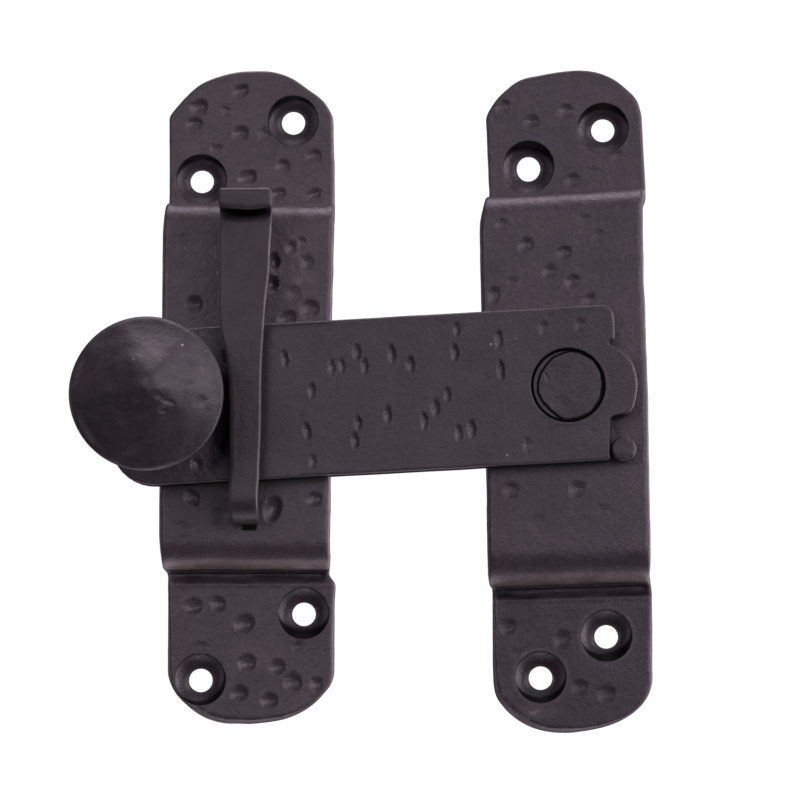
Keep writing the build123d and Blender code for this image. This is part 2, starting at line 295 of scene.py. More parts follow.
def free_points(outline, holes, side, rings, grid, seed):
    """Interior points: rows inside the outline, rings round the holes, and a jittered grid."""
    nrm = inward(outline)
    out, last = [], rings[-1]
    for k, d in enumerate(rings[1:], 1):
        step = 1 if d < 0.6 else 2
        q = (outline + nrm * d)[(k % 2) % step::step]
        q = q[(distance(q, outline) > d - 0.02) & inside(q, outline)]
        out.append((q, d))
    rows = []
    for q, d in out:
        ok = np.ones(len(q), bool)
        for h in holes:
            if isinstance(h, Hole):
                ok &= h.dist(q) > max([h.bore] + h.rings[side]) + 0.12
            else:
                ok &= (distance(q, h.loop) > 0.15) & ~inside(q, h.loop)
        rows.append(q[ok])
    for h in holes:
        for k, r in enumerate(h.rings[side]):
            q = h.ring(r, 0.5 * (k % 2))
            q = q[inside(q, outline)]
            rows.append(q[distance(q, outline) > 0.12])
    lo, hi = outline.min(0), outline.max(0)
    rng = np.random.default_rng(seed)
    gy = np.arange(lo[1], hi[1], grid * 0.866)
    pts = []
    for k, y in enumerate(gy):
        x = np.arange(lo[0] + (k % 2) * grid / 2, hi[0], grid)
        pts.append(np.c_[x, np.full(len(x), y)])
    g = np.vstack(pts)
    g += rng.uniform(-0.16, 0.16, g.shape) * grid
    g = g[inside(g, outline)]
    g = g[distance(g, outline) > last + 0.45 * grid]
    for h in holes:
        if isinstance(h, Hole):
            g = g[h.dist(g) > max([h.bore] + h.rings[side]) + 0.45 * grid]
        else:
            g = g[(distance(g, h.loop) > 0.4 * grid) & ~inside(g, h.loop)]
    rows.append(g)
    return np.vstack(rows)


def slab(outline, holes, face, back, face_rings, back_rings, grid, seed, wall_rows=4, bulge=None, wall=None):
    """Vertices, faces and a paint value for each vertex: it lightens the paint for edge abrasion and, in places, as
    painted light, and below zero it is painted shade.
    face and back take (points, distance from the outline) and give positions and that value. wall gives the value on
    the outer walls, where some of them get painted shade."""
    verts, faces, wear_and_painted_light = [], [], []
    loops = {}
    base = 0
    for side, fn, rings, g in (("face", face, face_rings, grid), ("back", back, back_rings, grid * 2.2)):
        free = free_points(outline, holes, side, rings, g, seed)
        co, tri, index = triangulate(outline, holes, free)
        xyz, w = fn(co, distance(co, outline))
        verts.append(xyz)
        wear_and_painted_light.append(w)
        faces += (tri[:, ::-1] if side == "back" else tri).__add__(base).tolist()
        loops[side] = [i + base for i in index]
        base += len(co)
    flat = np.vstack(verts)
    for k0, (lf, lb) in enumerate(zip(loops["face"], loops["back"])):
        rows = [lf]
        side_wear_and_shade = wall(outline) if wall is not None and k0 == 0 else np.full(len(lf), 0.15)
        for k in range(1, wall_rows):
            t = k / wall_rows
            q = flat[lf] * (1 - t) + flat[lb] * t
            if bulge is not None:
                q = bulge(q, t)
            verts.append(q)
            wear_and_painted_light.append(side_wear_and_shade)
            rows.append(np.arange(len(lf)) + base)
            base += len(lf)
        rows.append(lb)
        for r0, r1 in zip(rows, rows[1:]):
            a, b = r0, np.roll(r0, -1)
            c, d = np.roll(r1, -1), r1
            faces += np.c_[a, b, c, d].tolist()
    return np.vstack(verts), faces, np.concatenate(wear_and_painted_light)


def edge_round(d, r):
    """How far a face drops within r of its edge."""
    x = np.clip(1 - d / r, 0, 1)
    return r * (1 - np.sqrt(np.clip(1 - x * x, 0, 1)))


def dents(p, marks, lean=(0.0, 0.0), scale=1.0):
    """Depth of hammer marks at points p. A mark is (u, v, half width, half height, depth, turn in degrees), and it is steeper
    on the side that lean points to."""
    out = np.zeros(len(p))
    for u, v, a, b, depth, turn in marks:
        near = (abs(p[:, 0] - u) < 2.2 * max(a, b)) & (abs(p[:, 1] - v) < 2.2 * max(a, b))
        if not near.any():
            continue
        q = p[near]
        t = math.radians(turn)
        du, dv = q[:, 0] - u, q[:, 1] - v
        x = (du * math.cos(t) + dv * math.sin(t)) / a
        y = (-du * math.sin(t) + dv * math.cos(t)) / b
        wob = 1 + 0.16 * noise(np.c_[du, dv] + (17.3 * u, 9.1 * v), 1.1 * max(a, b), 71)
        r = np.hypot(x, y) * wob
        aslant = np.clip(1 + (du * lean[0] + dv * lean[1]) / max(a, b) * 1.1, 0.15, 1.9)
        pit = np.clip(1 - r * r, 0, 1) ** 1.1 * aslant
        rim = np.exp(-((r - 1.12) / 0.2) ** 2) * 0.10
        out[near] = np.maximum(out[near], scale * depth * pit) - scale * depth * rim
    return out


def make(name, parts, material, body, nodes, sharp=38):
    """One mesh piece from (vertices in mm, faces, paint value of abrasion, painted light and painted shade) parts. It
    rides on a body and stands for its CAD nodes.
    """
    v, f, w, base = [], [], [], 0
    for pv, pf, pw in parts:
        v.append(pv)
        f += [[i + base for i in face] for face in pf]
        w.append(pw)
        base += len(pv)
    v = np.vstack(v)
    lo, hi = (np.array(c) / MM for c in cad_box)
    v = np.clip(v, lo + 0.001, hi - 0.001)
    mesh = bpy.data.meshes.new(name)
    mesh.from_pydata((v * MM).tolist(), [], f)
    att = mesh.attributes.new("wear_and_painted_light", "FLOAT", "POINT")
    att.data.foreach_set("value", np.concatenate(w).astype(np.float32))
    bm = bmesh.new()
    bm.from_mesh(mesh)
    bmesh.ops.recalc_face_normals(bm, faces=bm.faces)
    for e in bm.edges:
        if len(e.link_faces) == 2:
            e.smooth = e.calc_face_angle(0.0) < math.radians(sharp)
    for face in bm.faces:
        face.smooth = True
    bm.to_mesh(mesh)
    bm.free()
    mesh.update()
    obj = bpy.data.objects.new(name, mesh)
    bpy.context.scene.collection.objects.link(obj)
    mesh.materials.append(material)
    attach(obj, body)
    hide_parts(*nodes)
    return obj


def lathe(profile, cx, cz, n, shape=None):
    """A closed solid turned about the Y axis through (cx, cz), from (radius, y, paint value of abrasion and painted
    shade) points; the first and last are on the axis.
    """
    prof = np.asarray(profile, float)
    ring = prof[1:-1]
    a = np.arange(n) / n * 2 * math.pi
    r = ring[:, 0][:, None] * np.ones(n)
    y = ring[:, 1][:, None] * np.ones(n)
    th = a[None] * np.ones(len(ring))[:, None]
    x, z = r * np.cos(th), r * np.sin(th)
    pts = np.c_[x.ravel(), y.ravel(), z.ravel()]
    ends = np.array([[0, prof[0, 1], 0], [0, prof[-1, 1], 0]])
    v = np.vstack([pts, ends])
    if shape is not None:
        v = shape(v)
    v = v + np.array([cx, 0, cz])
    m = len(ring)
    faces = []
    k = np.arange(n)
    for i in range(m - 1):
        faces += np.c_[i * n + k, i * n + (k + 1) % n, (i + 1) * n + (k + 1) % n, (i + 1) * n + k].tolist()
    faces += [[int((j + 1) % n), int(j), m * n] for j in k]
    faces += [[int((m - 1) * n + j), int((m - 1) * n + (j + 1) % n), m * n + 1] for j in k]
    w = np.r_[np.repeat(ring[:, 2], n), 0, 0]
    return v, faces, w


# ---------------------------------------------------------------------------
# materials: satin black over iron, faintly warm, with grain, patches and rubbed edges, and with painted light and
# painted shade carried by a vertex attribute
# ---------------------------------------------------------------------------
def iron(name, colour, rough, grain, patch_seed, rub=0.5, spots=()):
    mat = bpy.data.materials.new(name)
    mat.use_nodes = True
    nt = mat.node_tree
    nt.nodes.clear()
    out = nt.nodes.new("ShaderNodeOutputMaterial")
    bsdf = nt.nodes.new("ShaderNodeBsdfPrincipled")
    nt.links.new(bsdf.outputs[0], out.inputs[0])
    bsdf.inputs["Metallic"].default_value = 0.0
    bsdf.inputs["IOR"].default_value = 1.5
    tc = nt.nodes.new("ShaderNodeTexCoord")
    move = nt.nodes.new("ShaderNodeMapping")
    move.inputs["Location"].default_value = (0.013 * patch_seed, 0.007 * patch_seed, -0.011 * patch_seed)
    nt.links.new(tc.outputs["Object"], move.inputs["Vector"])

    def tex(scale, detail, roughness, distortion=0.0):
        n = nt.nodes.new("ShaderNodeTexNoise")
        n.inputs["Scale"].default_value = scale
        n.inputs["Detail"].default_value = detail
        n.inputs["Roughness"].default_value = roughness
        n.inputs["Distortion"].default_value = distortion
        nt.links.new(move.outputs[0], n.inputs["Vector"])
        return n

    def ramp(src, a, b, lo, hi):
        r = nt.nodes.new("ShaderNodeMapRange")
        r.inputs["From Min"].default_value = a
        r.inputs["From Max"].default_value = b
        r.inputs["To Min"].default_value = lo
        r.inputs["To Max"].default_value = hi
        nt.links.new(src, r.inputs["Value"])
        return r.outputs["Result"]

    def mix(fac, a, b):
        m = nt.nodes.new("ShaderNodeMix")
        m.data_type = "RGBA"
        m.clamp_factor = True
        nt.links.new(fac, m.inputs["Factor"])
        for sock, val in ((m.inputs[6], a), (m.inputs[7], b)):
            if isinstance(val, tuple):
                sock.default_value = (*val, 1.0)
            else:
                nt.links.new(val, sock)
        return m.outputs[2]

    def math_node(op, a, b):
        m = nt.nodes.new("ShaderNodeMath")
        m.operation = op
        for sock, val in ((m.inputs[0], a), (m.inputs[1], b)):
            if isinstance(val, (int, float)):
                sock.default_value = val
            else:
                nt.links.new(val, sock)
        return m.outputs[0]

    c = np.array(colour)
    patches = tex(140, 3.0, 0.55, 0.4)
    mottle = tex(900, 2.0, 0.6)
    grit = tex(2600, 2.0, 0.6)
    light = tuple(c * 1.24)
    dark = tuple(c * 0.77)
    col = mix(ramp(patches.outputs["Fac"], 0.32, 0.68, 0.0, 1.0), dark, light)
    col = mix(ramp(mottle.outputs["Fac"], 0.35, 0.75, 0.0, 0.40), col, tuple(c * 1.5))
    col = mix(ramp(grit.outputs["Fac"], 0.36, 0.64, 0.45 * grain, 0.0), col, tuple(c * 0.45))
    # paint thinned on edges and rims, where the iron shows a little browner; the same lighter colours are also painted
    # light over the whole catch plate face, on the lower crest bands and slanted ends, on rough patches, along the
    # strap's right edge and at its foot
    wear_and_painted_light = nt.nodes.new("ShaderNodeAttribute")
    wear_and_painted_light.attribute_name = "wear_and_painted_light"
    worn_and_lit = math_node("MULTIPLY", wear_and_painted_light.outputs["Fac"], ramp(tex(420, 3.0, 0.65).outputs["Fac"], 0.35, 0.7, 0.15, 1.0))
    patch = ramp(tex(420, 3.0, 0.65).outputs["Fac"], 0.3, 0.6, 0.55, 1.0)
    col = mix(math_node("MULTIPLY", worn_and_lit, rub), col, (0.150, 0.126, 0.116))
    col = mix(math_node("MULTIPLY", ramp(wear_and_painted_light.outputs["Fac"], 1.0, 3.0, 0.0, 1.0), patch), col, (0.430, 0.370, 0.345))
    # painted shade: where the paint value is below zero the colour goes near black and the sheen drops, standing in for
    # shade in corners, hollows, gaps and undersides
    painted_shade = ramp(wear_and_painted_light.outputs["Fac"], -1.0, 0.0, 1.0, 0.0)
    col = mix(painted_shade, col, tuple(c * 0.10))
    nt.links.new(ramp(wear_and_painted_light.outputs["Fac"], -1.0, 0.0, 0.04, 0.7), bsdf.inputs["Specular IOR Level"])
    flatten = nt.nodes.new("ShaderNodeVectorMath")
    flatten.operation = "MULTIPLY"
    flatten.inputs[1].default_value = (1.0, 0.0, 1.0)
    nt.links.new(tc.outputs["Object"], flatten.inputs[0])
    for x, z, r, tone in spots:
        dist = nt.nodes.new("ShaderNodeVectorMath")
        dist.operation = "DISTANCE"
        dist.inputs[1].default_value = (x * MM, 0.0, z * MM)
        nt.links.new(flatten.outputs[0], dist.inputs[0])
        edge = ramp(dist.outputs["Value"], r * 0.45 * MM, r * MM, 1.0, 0.0)
        col = mix(edge, col, tone)
    nt.links.new(col, bsdf.inputs["Base Color"])
    rg = ramp(patches.outputs["Fac"], 0.3, 0.7, rough + 0.05, rough - 0.05)
    rg = math_node("ADD", rg, ramp(mottle.outputs["Fac"], 0.3, 0.7, -0.05, 0.05))
    nt.links.new(rg, bsdf.inputs["Roughness"])
    b1 = nt.nodes.new("ShaderNodeBump")
    b1.inputs["Strength"].default_value = 0.8
    b1.inputs["Distance"].default_value = 0.00009 * grain
    nt.links.new(grit.outputs["Fac"], b1.inputs["Height"])
    b2 = nt.nodes.new("ShaderNodeBump")
    b2.inputs["Strength"].default_value = 0.8
    b2.inputs["Distance"].default_value = 0.00012 * grain
    nt.links.new(mottle.outputs["Fac"], b2.inputs["Height"])
    nt.links.new(b1.outputs[0], b2.inputs["Normal"])
    nt.links.new(b2.outputs[0], bsdf.inputs["Normal"])
    return mat


# the purple cast in these base colours is partly painted light: it carries about half of the lamps' tint, the rest is
# in the lamp colour
plate_mat = iron("plate_iron", (0.088, 0.072, 0.088), 0.36, 1.0, 1, 0.3)
strap_mat = iron("strap_iron", (0.058, 0.048, 0.058), 0.42, 0.7, 2, 0.3)
bar_mat = iron("bar_iron", (0.069, 0.057, 0.069), 0.37, 1.0, 3, 0.3, [(-12.75, 7.9, 0.24, (0.42, 0.40, 0.41)), (-10.25, -9.4, 0.24, (0.36, 0.34, 0.35)), (-22.45, -1.6, 0.18, (0.26, 0.24, 0.25)), (-8.85, 8.8, 0.18, (0.26, 0.24, 0.25))])
knob_mat = iron("knob_iron", (0.052, 0.043, 0.052), 0.44, 0.7, 4, 0.3, [
    (-59.9, 5.65, 0.27, (0.42, 0.40, 0.41)), (-67.2, 3.3, 0.2, (0.26, 0.24, 0.25)), (-56.45, 4.85, 0.16, (0.26, 0.24, 0.25)), (-65.9, 6.65, 0.15, (0.24, 0.22, 0.23))])
rivet_mat = iron("rivet_iron", (0.066, 0.054, 0.066), 0.40, 1.2, 5, 0.3)


# ---------------------------------------------------------------------------
# bent plates
# ---------------------------------------------------------------------------
sink_rings = [2.0, 2.3, 2.65, 3.0, 3.2, 3.32, 3.44, 3.56, 3.68, 3.78, 3.86, 3.92, 3.97, 4.01, 4.06, 4.12, 4.25, 4.5]
plate_face_rings = [0.0, 0.035, 0.1, 0.2, 0.34, 0.52, 0.74, 1.0]
plate_back_rings = [0.0, 0.06, 0.2, 0.4, 0.8]


def plate(left, right, top_arc, low_arc, bend, twist, screws, cuts, marks, slant, deep, rubs, tone, ripples, seed):
    """A bent plate. left runs up and right runs down, both as (x, z) points, and the arcs join them. bend is the two
    feet, the lower riser's lean and the lower crest's radius; twist is the middle x and how much the upper and lower
    bends rise along x; cuts are other holes; marks are dents in (x, z); slant is where the sheared end wall leans out,
    its bevel lightened partly as painted light: (x, z, width, reach). A screw is (x, z, side of the painted shade arc
    in its sink, arc width);
    deep scales the dents, and rubs are abraded spots (x, z, half width, half height). tone sets the paint value of the
    face, of its lower pad and of the lower crest: painted light on the face and pad, painted shade where it is below
    zero, and on the crest a band of thinned paint lightened further as painted light;
    ripples are rough patches (x, z, half width, half height), lightened as a painted highlight."""
    line = hat(*bend, 60)
    cx, k_top, k_low = twist
    top, low = bend[:2]
    crest_start, crest_end = line.s[83], line.s[123]

    def rise(z):
        a = smoothstep(top - 24, top - 5, z) * (1 - smoothstep(top + 0.5, top + 7, z))
        b = (1 - smoothstep(low + 5, low + 24, z)) * smoothstep(low - 7, low - 0.5, z)
        return k_top * a + k_low * b

    def flat(p):
        q = np.atleast_2d(np.asarray(p, float))
        z = q[:, 1].copy()
        for _ in range(12):
            z = q[:, 1] - (q[:, 0] - cx) * rise(z)
        return np.c_[q[:, 0], line.s_of_z(z)]

    ring = np.vstack([left[:-1], curve([left[-1]] + top_arc + [right[0]], 8), right[1:-1], curve([right[-1]] + low_arc + [left[0]], 8)[:-1]])
    ring = flat(dense(ring, 0.15))
    outline = soften(even(ring, 0.2), 0.42, 0.2)
    n = inward(outline)
    wob = 0.03 + 0.035 * noise(outline, 5.5, seed) + 0.02 * noise(outline, 1.7, seed + 1)
    outline = even(outline + n * np.clip(wob, 0.0, 0.15)[:, None], 0.36)
    holes = []
    for x, z, side, wide in screws:
        u, v = flat((x, z))[0]
        holes.append(Hole(u, v, 1.85, sink_rings, [2.0, 2.3], sink=4.05))
        holes[-1].arc = (math.radians(side), wide)
    for item in cuts:
        if len(item) == 3:
            u, v = flat(item[:2])[0]
            holes.append(Hole(u, v, item[2], [item[2] + 0.3], [item[2] + 0.3], n=48))
        else:
            holes.append(Cut(flat(item)))
    uv_marks = {lean: [(*flat((x, z))[0], a, b, d, t) for x, z, a, b, d, t in marks if lo < z < hi]
                for lean, lo, hi in (((0.5, -0.45), 30, 99), ((0.55, -0.15), -28, 30), ((0.5, 0.3), -99, -28))}
    uv_ripples = [(*flat((x, z))[0], a, b) for x, z, a, b in ripples]
    uv_rubs = [(*flat((x, z))[0], a, b) for x, z, a, b in rubs]
    s_top, s_low = line.s_of_z(top - 3.6), line.s_of_z(low + 3.6)

    def place(co, h, side):
        y, z, ny, nz = line.at(co[:, 1])
        lift = (co[:, 0] - cx) * rise(z)
        y, z = y + side * ny * (strip_t / 2 + h), z + side * nz * (strip_t / 2 + h)
        return np.c_[co[:, 0], y, z + lift]

    uv_slant = [(*flat((x, z))[0], w, reach) for x, z, w, reach in slant]

    def face(co, d):
        mid = smoothstep(s_top - 3, s_top + 1, co[:, 1]) * (1 - smoothstep(s_low - 1, s_low + 3, co[:, 1]))
        r = 0.55 + 0.35 * mid + 0.08 * noise(co, 6, seed + 2)
        lean_out = np.full(len(co), 0.04)
        for u, v, w, reach in uv_slant:
            lean_out += w * np.exp(-((co[:, 0] - u) ** 2 + (co[:, 1] - v) ** 2) / reach**2)
        e = np.clip(1 - d / lean_out, 0, 1)
        h = -edge_round(np.maximum(d - lean_out, 0), r) - (2.6 - r) * e
        fade = smoothstep(0.0, 1.6, d - lean_out)
        h += fade * (0.05 * noise(co, 9.0, seed + 3) + 0.035 * noise(co, 3.6, seed + 4) + 0.012 * noise(co, 1.5, seed + 5) - 0.05)
        for lean, group in uv_marks.items():
            h -= dents(co, group, lean, deep) * smoothstep(0.05, 0.5, d - lean_out)
        below = low - line.at(co[:, 1])[1]
        h -= fade * (0.85 * smoothstep(-0.6, 0.5, below) * (1 - smoothstep(0.9, 1.9, below)) - 0.10 * np.exp(-((below - 2.15) / 0.35) ** 2))
        wear_and_painted_light = np.exp(-((d - lean_out - 0.15) / 0.3) ** 2) * (0.5 + 0.5 * noise(co, 2.5, seed + 6))
        # painted light from tone: the face lighter by tone[0] and the lower pad by tone[1], which makes the catch plate
        # lighter than the pivot plate
        wear_and_painted_light = wear_and_painted_light + tone[0] + (max(tone[1], 0) - tone[0]) * smoothstep(0.0, 4.0, below)
        # rough patches: shallow bumps, lightened as a painted highlight for the sheen on the rough face
        for u, v, a, b in uv_ripples:
            patch = fade * np.exp(-(((co[:, 0] - u) / a) ** 2) - ((co[:, 1] - v) / b) ** 2)
            h -= patch * (0.10 + 0.10 * noise(co * (1, 0.7), 1.25, seed + 15))
            wear_and_painted_light = wear_and_painted_light + patch * (0.38 + 0.25 * noise(co, 1.0, seed + 16))
        # lower crest: a band of thinned paint, lightened further by tone[2] as painted light from below
        t = (co[:, 1] - crest_start) / (crest_end - crest_start)
        rubbed_and_lit = smoothstep(0.26, 0.78, t) * (1 - smoothstep(1.0, 1.12, t)) * (1 + 0.25 * noise(co * (1, 2), 3.0, seed + 11))
        wear_and_painted_light = np.maximum(wear_and_painted_light, tone[2] * rubbed_and_lit)
        # slanted sheared ends: abraded bevel, lightened further as painted light
        wear_and_painted_light = np.maximum(wear_and_painted_light, 2.0 * smoothstep(0.25, 0.6, lean_out) * smoothstep(0.0, 0.3, e) * (0.8 + 0.4 * noise(co, 1.2, seed + 14)))
        for u, v, a, b in uv_rubs:
            wear_and_painted_light = np.maximum(wear_and_painted_light, 2.4 * np.exp(-(((co[:, 0] - u) / a) ** 2) - ((co[:, 1] - v) / b) ** 2) * (0.8 + 0.5 * noise(co, 0.9, seed + 12)))
        # painted shade: a near-black line in the corner under the lower riser, and on the pivot plate the lower pad
        # darkened by tone[1]
        crease = smoothstep(0.25, 0.6, below) * (1 - smoothstep(1.8, 2.35, below)) * np.clip(0.48 + 0.55 * noise(co * (0.35, 2.2), 1.3, seed + 13), 0, 1)
        wear_and_painted_light = wear_and_painted_light * (1 - crease) - crease + min(tone[1], 0) * smoothstep(1.5, 4.0, below)
        for hole in holes:
            if isinstance(hole, Hole) and hole.sink:
                rr = hole.dist(co)
                k = hole.sink - rr
                cone = 2.3 * (1 - np.clip((rr - hole.bore) / (hole.sink - hole.bore), 0, 1) ** 1.9)
                near = rr < hole.sink + 0.6
                inner = 1 - smoothstep(hole.sink - 0.1, hole.sink + 0.5, rr)
                h = np.where(near, h * (1 - inner) - cone + 0.006 * np.sin(rr * 21) * inner, h)
                # painted shade in each countersink: a dark arc on one side (hole.arc) and a darker cone, with a lighter
                # scuffed rim at its edge
                turned = np.cos(np.arctan2(hole.v - co[:, 1], co[:, 0] - hole.u) - hole.arc[0])
                arc = 0.13 + hole.arc[1] * np.clip(turned, 0, 1) ** 1.3
                painted_shade = smoothstep(-arc - 0.12 - 0.45 * (arc - 0.13), 0.03 - arc + 0.25 * (arc - 0.13), -k) * (1 - smoothstep(-0.02, 0.06, -k)) * (0.70 + 0.30 * smoothstep(-0.3, 0.4, turned))
                wear_and_painted_light = np.where(near, np.exp(-((rr - hole.sink) / 0.16) ** 2) * 0.35 * (1 - painted_shade) - np.maximum(painted_shade, 0.2 * smoothstep(0.05, 0.3, k)), wear_and_painted_light)
        return place(co, h, 1), np.clip(wear_and_painted_light, -1, 3)

    def back(co, d):
        h = -edge_round(d, 0.4) - 0.03 - 0.03 * noise(co, 7, seed + 8) * smoothstep(0, 2, d)
        h = np.minimum(h, -0.004)
        return place(co, h, -1), np.exp(-(d / 0.35) ** 2) * 0.4

    def bulge(q, t):
        k = 0.05 * math.sin(math.pi * t)
        return q + k * np.c_[noise(q, 2.2, seed + 9), np.zeros(len(q)), noise(q, 2.2, seed + 10)]

    return slab(outline, holes, face, back, plate_face_rings, plate_back_rings, 0.36, seed, bulge=bulge)


def round_rect(cx, cz, w, h, r, n=6):
    out = []
    for k, (sx, sz) in enumerate(((1, 1), (-1, 1), (-1, -1), (1, -1))):
        a = np.linspace(0, math.pi / 2, n) + k * math.pi / 2
        out.append(np.c_[cx + sx * (w / 2 - r) + r * np.cos(a), cz + sz * (h / 2 - r) + r * np.sin(a)])
    return np.vstack(out)


catch_left = [(-63.64, -43.00), (-63.68, -31.1), (-63.72, -28.6), (-63.62, -27.4), (-63.85, -26.6), (-64.33, -25.3), (-64.62, -23.5), (-64.77, -21.4),
              (-64.75, -14.4), (-64.43, 13.9), (-64.38, 23.4), (-64.33, 26.6), (-64.21, 28.2), (-64.01, 29.4), (-63.71, 30.4), (-63.62, 33.8), (-63.70, 45.6)]
catch_right = [(-37.64, 45.60), (-37.40, 33.80), (-37.38, 30.40), (-37.32, 28.40), (-37.43, 23.40), (-37.66, 13.90), (-37.87, -14.40),
               (-37.94, -21.50), (-37.94, -25.40), (-38.28, -27.30), (-37.63, -27.90), (-37.18, -28.60), (-37.36, -31.20), (-37.42, -43.00)]
catch_top_arc = [(-61.50, 48.25), (-58.60, 50.84), (-55.60, 52.07), (-52.40, 52.76), (-49.82, 52.84), (-47.42, 52.76), (-44.30, 51.80), (-41.50, 49.84), (-39.10, 47.94)]
catch_low_arc = [(-38.02, -44.52), (-39.03, -45.80), (-41.76, -48.30), (-44.28, -49.54), (-47.50, -50.30), (-50.00, -50.54),
                 (-52.40, -50.58), (-55.40, -50.40), (-58.55, -49.22), (-61.28, -47.05), (-62.80, -45.22)]
# hammer marks: x, z, half width, half height, depth, turn
catch_marks = [
    (-52.42, 49.36, 1.5, 1.1, 0.26, -20), (-58.91, 46.81, 1.7, 1.3, 0.30, -25), (-59.69, 44.26, 1.5, 1.1, 0.26, -15),
    (-52.40, 42.64, 1.6, 1.3, 0.30, -20), (-48.45, 42.48, 1.4, 1.2, 0.16, 0), (-40.68, 39.11, 1.4, 1.1, 0.22, 0),
    (-45.59, 37.36, 1.4, 1.2, 0.24, 10), (-51.28, 35.46, 1.7, 1.3, 0.34, -30), (-46.37, 33.06, 1.4, 0.9, 0.24, -25),
    (-40.83, 32.89, 1.6, 0.9, 0.26, -30), (-56.2, 40.1, 1.3, 1.0, 0.12, 0), (-54.6, 46.2, 1.2, 1.0, 0.12, 0),
    (-59.44, -32.34, 1.7, 1.3, 0.28, -15), (-55.75, -31.71, 1.5, 1.2, 0.26, 40), (-51.50, -35.02, 1.7, 1.5, 0.36, 0),
    (-58.32, -38.63, 1.5, 1.0, 0.14, 0), (-51.09, -41.15, 1.5, 1.4, 0.32, 0), (-46.38, -41.78, 1.5, 1.3, 0.30, 0),
    (-43.86, -44.14, 1.6, 1.5, 0.32, 0), (-52.33, -45.86, 1.6, 1.4, 0.34, 0), (-47.62, -47.04, 1.5, 1.3, 0.32, 0),
    (-40.10, -44.46, 1.2, 1.2, 0.26, 30), (-43.2, -38.6, 1.2, 0.8, 0.14, 0),
    (-61.29, 23.82, 1.3, 1.9, 0.14, 0), (-59.29, 14.65, 1.5, 1.5, 0.34, -20), (-46.85, 21.35, 1.0, 1.5, 0.58, 0),
    (-47.15, 17.90, 1.15, 1.5, 0.66, 0), (-41.58, 21.26, 1.2, 1.3, 0.20, 0), (-42.53, 24.42, 1.1, 1.0, 0.16, 40),
    (-44.09, 23.63, 1.0, 1.2, 0.20, 30), (-41.26, 13.99, 1.7, 1.5, 0.32, -20), (-44.70, 12.58, 1.8, 1.1, 0.34, -25),
    (-59.51, -15.56, 1.6, 1.3, 0.30, 50), (-46.84, -17.46, 1.4, 2.2, 0.50, 15), (-40.43, -15.90, 1.4, 1.2, 0.26, 0),
    (-61.0, -20.8, 1.8, 1.3, 0.12, 0), (-55.5, -18.6, 1.8, 1.4, 0.12, 0), (-43.6, 16.4, 1.4, 1.4, 0.14, 0),
]
slot_loop = round_rect(-50.50, -18.875, 2.3, 3.95, 0.3)
catch_slant = [(-60.2, -47.9, 0.62, 5.0), (-63.6, -38.0, 0.22, 6.0), (-53.0, -50.4, 0.26, 4.0), (-46.5, -49.9, 0.18, 4.0), (-37.5, -38.0, 0.16, 6.0)]
# tone (0.75, 0.3, 3.0): painted light on this plate's face and lower pad, and a light band on its lower crest
catch_parts = plate(catch_left, catch_right, catch_top_arc, catch_low_arc, (31.18, -26.68, 1.0, 4.5), (-51.0, -0.0115, 0.0),
                    [(-44.01, 44.71, 115, 0.60), (-58.45, -43.74, -60, 0.80), (-58.48, 35.36, 95, 0.65), (-42.23, -33.34, -92, 1.45)], [slot_loop], catch_marks, catch_slant, 1.5,
                    [(-59.6, -48.3, 1.8, 0.6)], (0.75, 0.3, 3.0), [(-42.3, 19.5, 3.6, 7.5)], 11)
make("catch_plate_hammered", [catch_parts], plate_mat, "plates", ["catch_plate"])

pivot_left = [(-12.43, -44.00), (-12.55, -40.6), (-12.60, -29.7), (-12.85, -28.7), (-13.32, -27.4), (-13.36, -25.4), (-13.42, -21.5), (-13.50, -14.5),
              (-14.28, 13.85), (-14.38, 18.6), (-14.56, 26.5), (-14.50, 28.0), (-14.30, 29.0), (-13.95, 30.0), (-13.45, 31.0), (-13.10, 31.9), (-12.98, 33.2), (-13.26, 39.4), (-13.50, 45.6)]
pivot_right = [(11.24, 45.60), (11.52, 39.40), (11.86, 33.50), (11.82, 32.80), (11.30, 32.00), (11.20, 31.00), (11.20, 26.40), (11.27, 18.50), (11.52, 13.80), (11.89, 0.60),
               (12.05, -14.50), (12.20, -21.60), (12.20, -25.50), (12.06, -27.40), (12.38, -28.70), (12.56, -29.80), (12.63, -44.00)]
pivot_top_arc = [(-11.95, 48.11), (-10.40, 49.73), (-8.10, 51.33), (-4.90, 52.11), (-1.75, 52.63), (1.48, 52.87), (4.82, 52.31), (6.97, 51.31), (8.97, 49.71), (10.37, 48.25)]
pivot_low_arc = [(12.08, -45.84), (10.18, -48.34), (7.63, -50.13), (4.48, -51.29), (1.15, -51.88), (-2.00, -52.08), (-5.15, -51.63), (-8.30, -50.24), (-10.55, -48.34), (-12.15, -45.84)]
